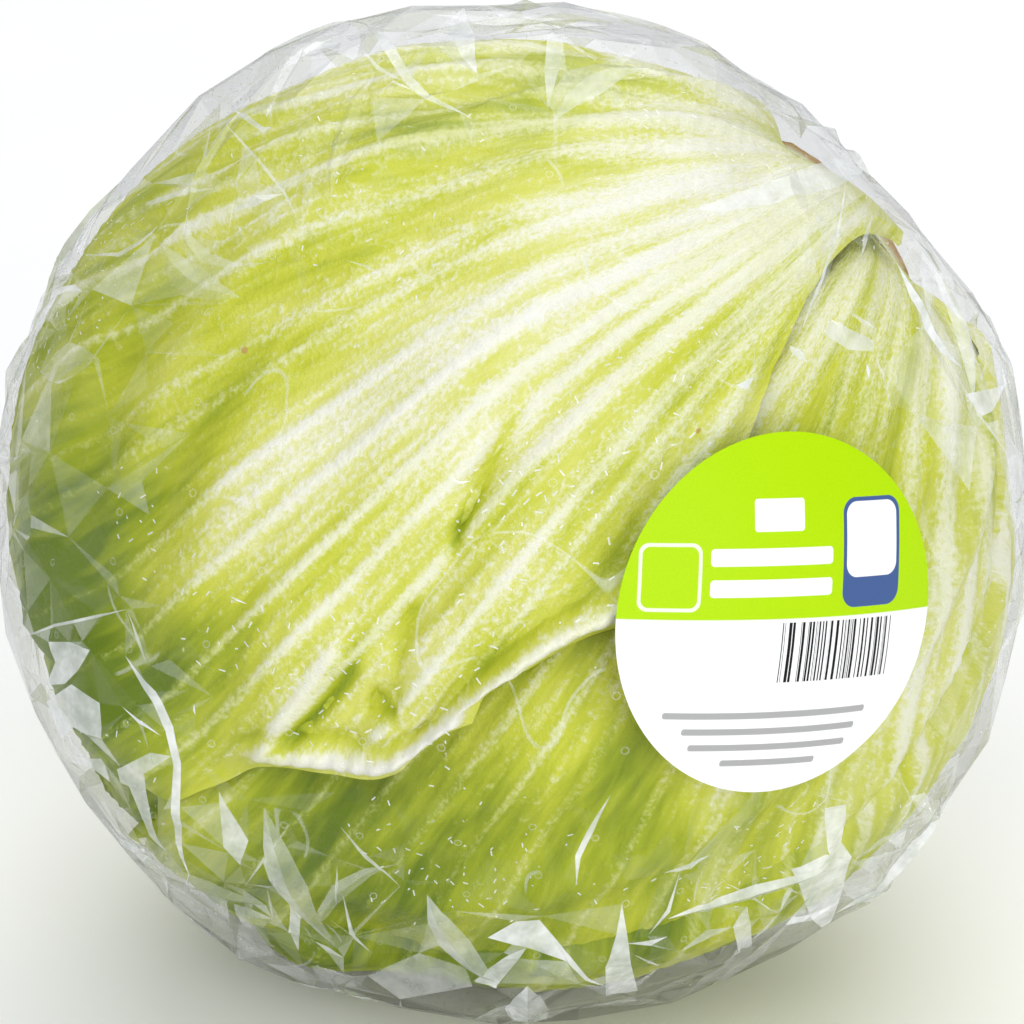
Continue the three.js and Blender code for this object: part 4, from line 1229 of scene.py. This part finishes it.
def make_film():
    """The wrap: its tight and crinkled body, its gather and its tuft, as one thin closed shell."""
    tree, corners, edges = film_frame()
    folds = make_folds()
    plane, faces = film_body(corners, edges, folds)

    def nearest(p):
        return int(np.argmin(((plane - p) ** 2).sum(axis=1)))

    d = from_plane(plane)
    height, _ = folds.evaluate(d)
    for corner, lift in folds.lifts:
        height[nearest(corner)] += lift
    away = np.arccos(np.clip(d @ GATHER_AXIS, -1, 1))
    height = height * smooth(GATHER_ANGLE * DEG, (GATHER_ANGLE + 3) * DEG, away)
    points = list(d * (even_film_radius(tree, d) - FILM_INSET + height)[:, None])
    rim = [nearest(p) for p in to_plane(gather_ring(GATHER_ANGLE))]
    for row in gather_rows(tree):
        ring = list(range(len(points), len(points) + PLEAT_COLUMNS))
        points += list(row)
        faces += ring_faces(rim, ring)
        rim = ring
    points, faces, sheet_faces = film_walls(np.array(points) + CENTRE, np.array(faces), len(d), rim)
    obj = make_object("film_wrap", points, faces.tolist(), "film")
    crease_edges(obj)
    film_values(obj, points, faces, sheet_faces, folds)
    return obj


def ring_faces(a, b):
    """Faces between two rings of points, with the first ring outside the second."""
    out = []
    for k in range(len(a)):
        j = (k + 1) % len(a)
        out += [(a[k], a[j], b[j]), (a[k], b[j], b[k])]
    return out


def film_walls(points, faces, body_count, rim):
    """Turns the sheet's faces outwards, gives it its inner wall and closes it round the tuft's edge."""
    a, b, c = (points[faces[:, k]] for k in range(3))
    normal = np.cross(b - a, c - a)
    outward = (normal * ((a + b + c) / 3 - CENTRE)).sum(axis=1)
    body = (faces < body_count).all(axis=1)
    flip = np.where(body, outward < 0, outward[~body].mean() < 0)
    faces[flip] = faces[flip][:, ::-1]
    normal[flip] *= -1
    at_point = np.zeros_like(points)
    for k in range(3):
        np.add.at(at_point, faces[:, k], normal)
    inside = points - unit(at_point + 1e-12) * FILM_WALL
    n = len(points)
    edge_way = {(int(p), int(q)) for face in faces[~body] for p, q in zip(face, np.roll(face, -1))}
    rim_faces = []
    for p, q in zip(rim, rim[1:] + rim[:1]):
        if (p, q) not in edge_way:
            p, q = q, p
        rim_faces += [(q, p, p + n), (q, p + n, q + n)]
    points = np.concatenate([points, inside])
    points[:, 2] = np.maximum(points[:, 2], 0)
    return points, np.concatenate([faces, faces[:, ::-1] + n, np.array(rim_faces)]), len(faces)


def film_values(obj, points, faces, sheet_faces, folds):
    """Stores how milky each facet is, together with the flashes and bright lines painted white as
    highlights, how glossy it is, and what the marks on the film follow.
    """
    centre = unit(points[faces].mean(axis=1) - CENTRE)
    loose = looseness(centre)
    _, milk_and_painted_flash = folds.evaluate(centre)
    ids = np.arange(len(centre)) % sheet_faces
    milk_and_painted_flash = np.maximum(milk_and_painted_flash, loose * 0.28 * scatter(ids, 0, 0, 61) ** 7)
    # milky folds and facets, and painted highlights: the flashes and bright lines are painted white where
    # the film catches the light
    add_values(obj, "milk_and_painted_flash", np.maximum(milk_and_painted_flash, folds.painted_flash_white(centre)), "FACE")
    add_values(obj, "glint", loose * scatter(ids, 1, 0, 62) ** 2, "FACE")
    add_values(obj, "outer", np.arange(len(faces)) // sheet_faces != 1, "FACE")
    ahead = unit(points - CENTRE)
    angle = np.arccos(np.clip(ahead @ FRONT, -1, 1))
    aside = ahead - (ahead @ FRONT)[:, None] * FRONT
    aside = aside / (np.linalg.norm(aside, axis=1, keepdims=True) + 1e-9) * angle[:, None] * FILM_RADIUS
    x, y = aside @ CAMERA_RIGHT, aside @ np.cross(FRONT, CAMERA_RIGHT)
    add_values(obj, "sheet", flat_place(x, y))
    # where the painted sparkles gather, and where the painted thin highlight lines show
    add_values(obj, "cluster", 0.5 + 0.5 * plane_noise(x / 20, y / 20, 65))
    add_values(obj, "glint_line_mask", 0.5 + 0.5 * plane_noise(x / 9, y / 9, 66))


def crease_edges(obj):
    """Marks the film's edges sharp where it is loose and bends, and leaves it smooth where tight."""
    shape = bmesh.new()
    shape.from_mesh(obj.data)
    for edge in shape.edges:
        middle = (edge.verts[0].co + edge.verts[1].co) / 2 / MM - Vector(CENTRE)
        loose = float(looseness(np.array(middle.normalized())))
        limit = (8 + 45 * (1 - loose) ** 2) * DEG
        edge.smooth = edge.calc_face_angle(0.0) < limit
    for face in shape.faces:
        face.smooth = True
    shape.to_mesh(obj.data)
    shape.free()


HOLE_SPACING = 13.0
HOLE_RADIUS = 0.55
SPARKLE_SPACING = 2.3


def film_marks(s, sheet):
    """How white the film's punched holes make it, with painted highlights: short bright dashes of sparkle
    and thin lines where the film catches the light.
    """
    def cells_of(spacing, randomness=1.0):
        place = s.scaled(sheet, (1 / spacing, 1 / spacing, 1))
        return place, s.voronoi(place, randomness)

    _, punched = cells_of(HOLE_SPACING, 0.5)
    hole = s.steps(s.apart(s.times(punched["Distance"], HOLE_SPACING), HOLE_RADIUS), 0.16, 0.06)

    # painted sparkles: short white dashes where the film catches the light
    place, mark = cells_of(SPARKLE_SPACING)
    away = s.node("ShaderNodeVectorMath", {0: place, 1: mark["Position"]}, operation="SUBTRACT")
    x, y, _ = s.axes(away.outputs[0])
    chance, own_turn, own_length = s.parts(mark["Color"])
    turn = s.times(own_turn, 6.28)
    cos, sin = s.math("COSINE", turn), s.math("SINE", turn)
    along = s.math("ABSOLUTE", s.add(s.times(x, cos), s.times(y, sin)))
    across = s.apart(s.times(y, cos), s.times(x, sin))
    length = s.line(own_length, 0.22, 0.08)
    painted_sparkle = s.times(s.steps(across, 0.07, 0.03), s.steps(s.less(length, along), 0.0, 0.06))
    painted_sparkle = s.times(painted_sparkle, s.steps(s.sway(chance, s.attribute("cluster"), 2.6), 0.93, 0.99))

    # painted highlights along thin lines where folds of the film catch the light
    level = s.noise(s.scaled(sheet, (0.035, 0.03, 1)), 1.0, 1.0)
    painted_glint_line = s.steps(s.apart(level, 0.56), 0.006, 0.002)
    painted_glint_line = s.times(painted_glint_line, s.steps(s.attribute("glint_line_mask"), 0.54, 0.6))
    return s.most(s.most(s.times(hole, 0.22), s.times(painted_sparkle, 0.75)), s.times(painted_glint_line, 0.28))


def film_material():
    """Clear film: darker and more of a mirror where it is seen edge on, milky where it is folded, white at
    its punched holes, and painted white as highlights in flashes, sparkles and thin lines where it catches
    the light."""
    s = Shader("clear_film")
    sheet = s.attribute("sheet", "Vector")
    wrinkle = s.noise(sheet, 0.16, 3.0, 0.6)
    normal = s.bump(wrinkle, 0.35, 0.0012)
    edge_on = s.node("ShaderNodeLayerWeight", {"Blend": 0.5}).outputs["Facing"]
    glint = s.attribute("glint")
    mirror = s.line(s.math("POWER", edge_on, 5.0), s.line(glint, 0.9, 0.05), s.times(glint, 0.025))
    mirror = s.math("SUBTRACT", mirror, 0.003, clamp=True)
    dark = s.line(s.math("POWER", edge_on, 3.0), -0.27, 0.99)
    gloss = s.principled(Base_Color=(0.97, 0.98, 0.98, 1), Metallic=1.0, Roughness=0.09, Normal=normal)
    tint = s.node("ShaderNodeCombineColor", {0: dark, 1: dark, 2: dark}).outputs[0]
    white_haze_and_flash = s.principled(
        Base_Color=s.ramp(wrinkle, [(0.35, (214, 219, 217)), (0.65, (248, 250, 249))]),
        Roughness=0.25,
        Normal=normal,
    )
    thin = s.mix_shader(mirror, s.clear(tint), gloss)
    # the white layer carries the milky folds and the painted highlights: flashes, bright lines and
    # sparkles
    milky_and_flash_share = s.math("MULTIPLY", s.attribute("milk_and_painted_flash"), s.line(wrinkle, 1.3, 0.9), clamp=True)
    outside = s.mix_shader(s.most(milky_and_flash_share, film_marks(s, sheet)), thin, white_haze_and_flash)
    inside = s.clear((0.985, 0.988, 0.985, 1))
    return s.finish(s.mix_shader(s.attribute("outer"), inside, outside))


# The label

LABEL_RADIUS = 25.8
LABEL_FACE = 77.05  # radius of its front, from the head's centre
LABEL_BACK = 76.9
LABEL_TILT = 4.8  # degrees that its print is turned
LABEL_LINES = ((-17.6, 15.2, -13.8), (-14.4, 13.8, -16.2), (-13.0, 12.6, -18.6), (-7.6, 7.8, -21.0))
LABEL_RIGHT = unit(CAMERA_RIGHT - CAMERA_RIGHT.dot(LABEL_AXIS) * LABEL_AXIS)
LABEL_UP = np.cross(LABEL_AXIS, LABEL_RIGHT)


def make_label():
    """A thin round disc bent to the film, its edge lifting a little here and there."""
    rings, sides = 44, 144
    turn = np.arange(sides) * 2 * np.pi / sides
    reach = LABEL_RADIUS * np.sqrt(np.linspace(0, 1, rings + 1)[1:])
    x, y = (np.concatenate([[0], (reach[:, None] * way).ravel()]) for way in (np.cos(turn), np.sin(turn)))
    away = np.hypot(x, y) + 1e-9
    angle = away / LABEL_FACE
    sideways = (x[:, None] * LABEL_RIGHT + y[:, None] * LABEL_UP) / away[:, None]
    d = np.cos(angle)[:, None] * LABEL_AXIS + np.sin(angle)[:, None] * sideways
    wave = 0.05 * plane_noise(x / 9, y / 9, 71) + 0.03 * plane_noise(x / 3.5, y / 3.5, 72)
    wave = wave + 0.12 * bell(LABEL_RADIUS - away, 2.0) * (0.5 + plane_noise(x / 11, y / 11, 73))
    points = np.concatenate([d * (radius + wave)[:, None] for radius in (LABEL_FACE, LABEL_BACK)])
    n = len(x)
    at = on_rings(sides, 1)
    faces = grid_faces(rings - 1, sides, at)
    faces += [tuple(n + q for q in quad[::-1]) for quad in faces]
    for k in range(sides):
        faces += [(0, at(0, k), at(0, k + 1)), (n, n + at(0, k + 1), n + at(0, k))]
        p, q = at(rings - 1, k), at(rings - 1, k + 1)
        faces.append((p, n + p, n + q, q))
    obj = make_object("round_label", points + CENTRE, faces, "label", 40)
    cos, sin = np.cos(LABEL_TILT * DEG), np.sin(LABEL_TILT * DEG)
    design = flat_place(x * cos - y * sin, x * sin + y * cos)
    add_values(obj, "place", np.concatenate([design, design]))
    return obj


def label_material():
    """Printed paper: lime above and white below, with plain panels, bars and lines. A line is given
    by its left and right end and its height on the label."""
    s = Shader("printed_paper")
    place = s.attribute("place", "Vector")
    x, y, _ = s.axes(place)
    soft = 0.12

    def box(left, right, bottom, top, corner=0.0):
        """1 inside a box with rounded corners, fading over the print's soft edge."""
        out = []
        for value, low, high in ((x, left, right), (y, bottom, top)):
            past = s.less(s.apart(value, (low + high) / 2), (high - low) / 2 - corner)
            out.append(s.most(past, 0.0))
        return s.steps(s.less(s.length(*out), corner), soft, 0.0)

    fibre = s.noise(place, 3.0, 4.0, 0.6)
    lime = s.ramp(fibre, [(0.2, (174, 218, 0)), (0.8, (182, 226, 0))])
    white = s.ramp(fibre, [(0.2, (244, 244, 242)), (0.8, (252, 252, 251))])
    paper, blue, grey, black = rgb(250, 250, 248), rgb(70, 96, 148), rgb(70, 70, 70), rgb(24, 24, 24)
    stripe = s.node("ShaderNodeTexNoise", {"W": s.times(x, 1.9), "Scale": 1.0, "Detail": 2.0},
                    noise_dimensions="1D").outputs["Fac"]
    colour = s.mix(s.steps(y, -soft, soft), white, lime)
    panels = [
        (box(-23.0, -14.0, 1.2, 10.6, 1.4), 0.75, paper),
        (box(-22.5, -14.5, 1.7, 10.1, 1.1), 1.0, lime),
        (box(-12.6, 6.6, 3.2, 5.5, 0.5), 1.0, paper),
        (box(-12.6, 6.6, 7.5, 9.8, 0.5), 1.0, paper),
        (box(8.6, 19.0, 1.2, 16.4, 2.2), 1.0, blue),
        (box(9.2, 18.4, 5.4, 15.8, 1.8), 1.0, paper),
        (box(-6.0, 1.8, 12.2, 16.6, 0.4), 1.0, paper),
        (box(-1.0, 18.0, -9.0, -0.6), s.steps(stripe, 0.5, 0.52), black),
    ]
    for left, right, level in LABEL_LINES:
        panels.append((box(left, right, level - 0.42, level + 0.42, 0.3), 0.6, grey))
    for inside, share, ink in panels:
        colour = s.mix(s.times(inside, share), colour, ink)
    shader = s.principled(
        Base_Color=colour,
        Roughness=s.line(fibre, 0.1, 0.36),
        Normal=s.bump(fibre, 0.1, 0.0001),
        Specular_IOR_Level=0.12,
    )
    return s.finish(shader)


# Floor, lights and camera

FLOOR_CELLS = 24
FLOOR_HALF = 3000.0
FLOOR_DROP = 0.3  # how far the floor lies below the film, so that they don't meet


def make_floor():
    places = np.linspace(-FLOOR_HALF, FLOOR_HALF, FLOOR_CELLS + 1)
    points = [(x, y, -FLOOR_DROP) for y in places for x in places]

    def at(j, i):
        return j * (FLOOR_CELLS + 1) + i

    floor = new_object("floor", points, grid_faces(FLOOR_CELLS, FLOOR_CELLS, at, flip=True))
    s = Shader("pale_floor")
    tone = s.noise(s.node("ShaderNodeTexCoord").outputs["Object"], 9.0, 3.0)
    colour = s.ramp(tone, [(0.3, (247, 247, 247)), (0.7, (251, 251, 251))])
    floor.data.materials.append(s.finish(s.principled(Base_Color=colour, Roughness=0.7)))


def area_light(name, place, power, size):
    data = bpy.data.lights.new(name, "AREA")
    data.energy, data.size, data.shape = power, size, "SQUARE"
    light = bpy.data.objects.new(name, data)
    light.location = place
    aim = Vector(CENTRE * MM) - Vector(place)
    light.rotation_euler = aim.to_track_quat("-Z", "Y").to_euler()
    bpy.context.scene.collection.objects.link(light)


def make_lights():
    area_light("key", (-0.25, -0.95, 1.35), 12.2, 1.5)
    area_light("fill", (0.75, -1.2, 0.35), 8.5, 1.0)
    area_light("top", (0.15, 0.85, 1.3), 12.5, 1.4)
    world = bpy.data.worlds.new("soft_studio")
    world.use_nodes = True
    background = world.node_tree.nodes["Background"]
    background.inputs["Color"].default_value = (0.92, 0.95, 1.0, 1)
    background.inputs["Strength"].default_value = 0.42
    bpy.context.scene.world = world


def make_camera():
    data = bpy.data.cameras.new("camera")
    data.lens, data.sensor_width = CAMERA_LENS, SENSOR
    data.clip_start, data.clip_end = 0.05, 20
    camera = bpy.data.objects.new("camera", data)
    camera.location = Vector((CENTRE + CAMERA_BACK * CAMERA_DISTANCE) * MM)
    camera.rotation_euler = Vector(-CAMERA_BACK).to_track_quat("-Z", "Y").to_euler()
    bpy.context.scene.collection.objects.link(camera)
    bpy.context.scene.camera = camera


bpy.context.scene.view_settings.view_transform = "Standard"
cycles = bpy.context.scene.cycles
cycles.max_bounces, cycles.diffuse_bounces, cycles.glossy_bounces = 4, 2, 1
cycles.transparent_max_bounces = 14
make_camera()
make_lights()
make_floor()

outer_look, inner_look = leaf_material("leaf_outer"), leaf_material("leaf_inner", 0.1)
for leaf_name in LEAVES:
    inside_leaf = leaf_name.startswith("inner")
    piece = make_leaf(leaf_name)
    piece.data.materials.append(inner_look if inside_leaf else outer_look)

heart = make_heart()
heart.data.materials.append(inner_look)

stem = make_stem()
stem.data.materials.append(stem_material())

film = make_film()
film.data.materials.append(film_material())
film.visible_shadow = film.visible_diffuse = False  # clear film hardly dims the light that passes it

label = make_label()
label.data.materials.append(label_material())
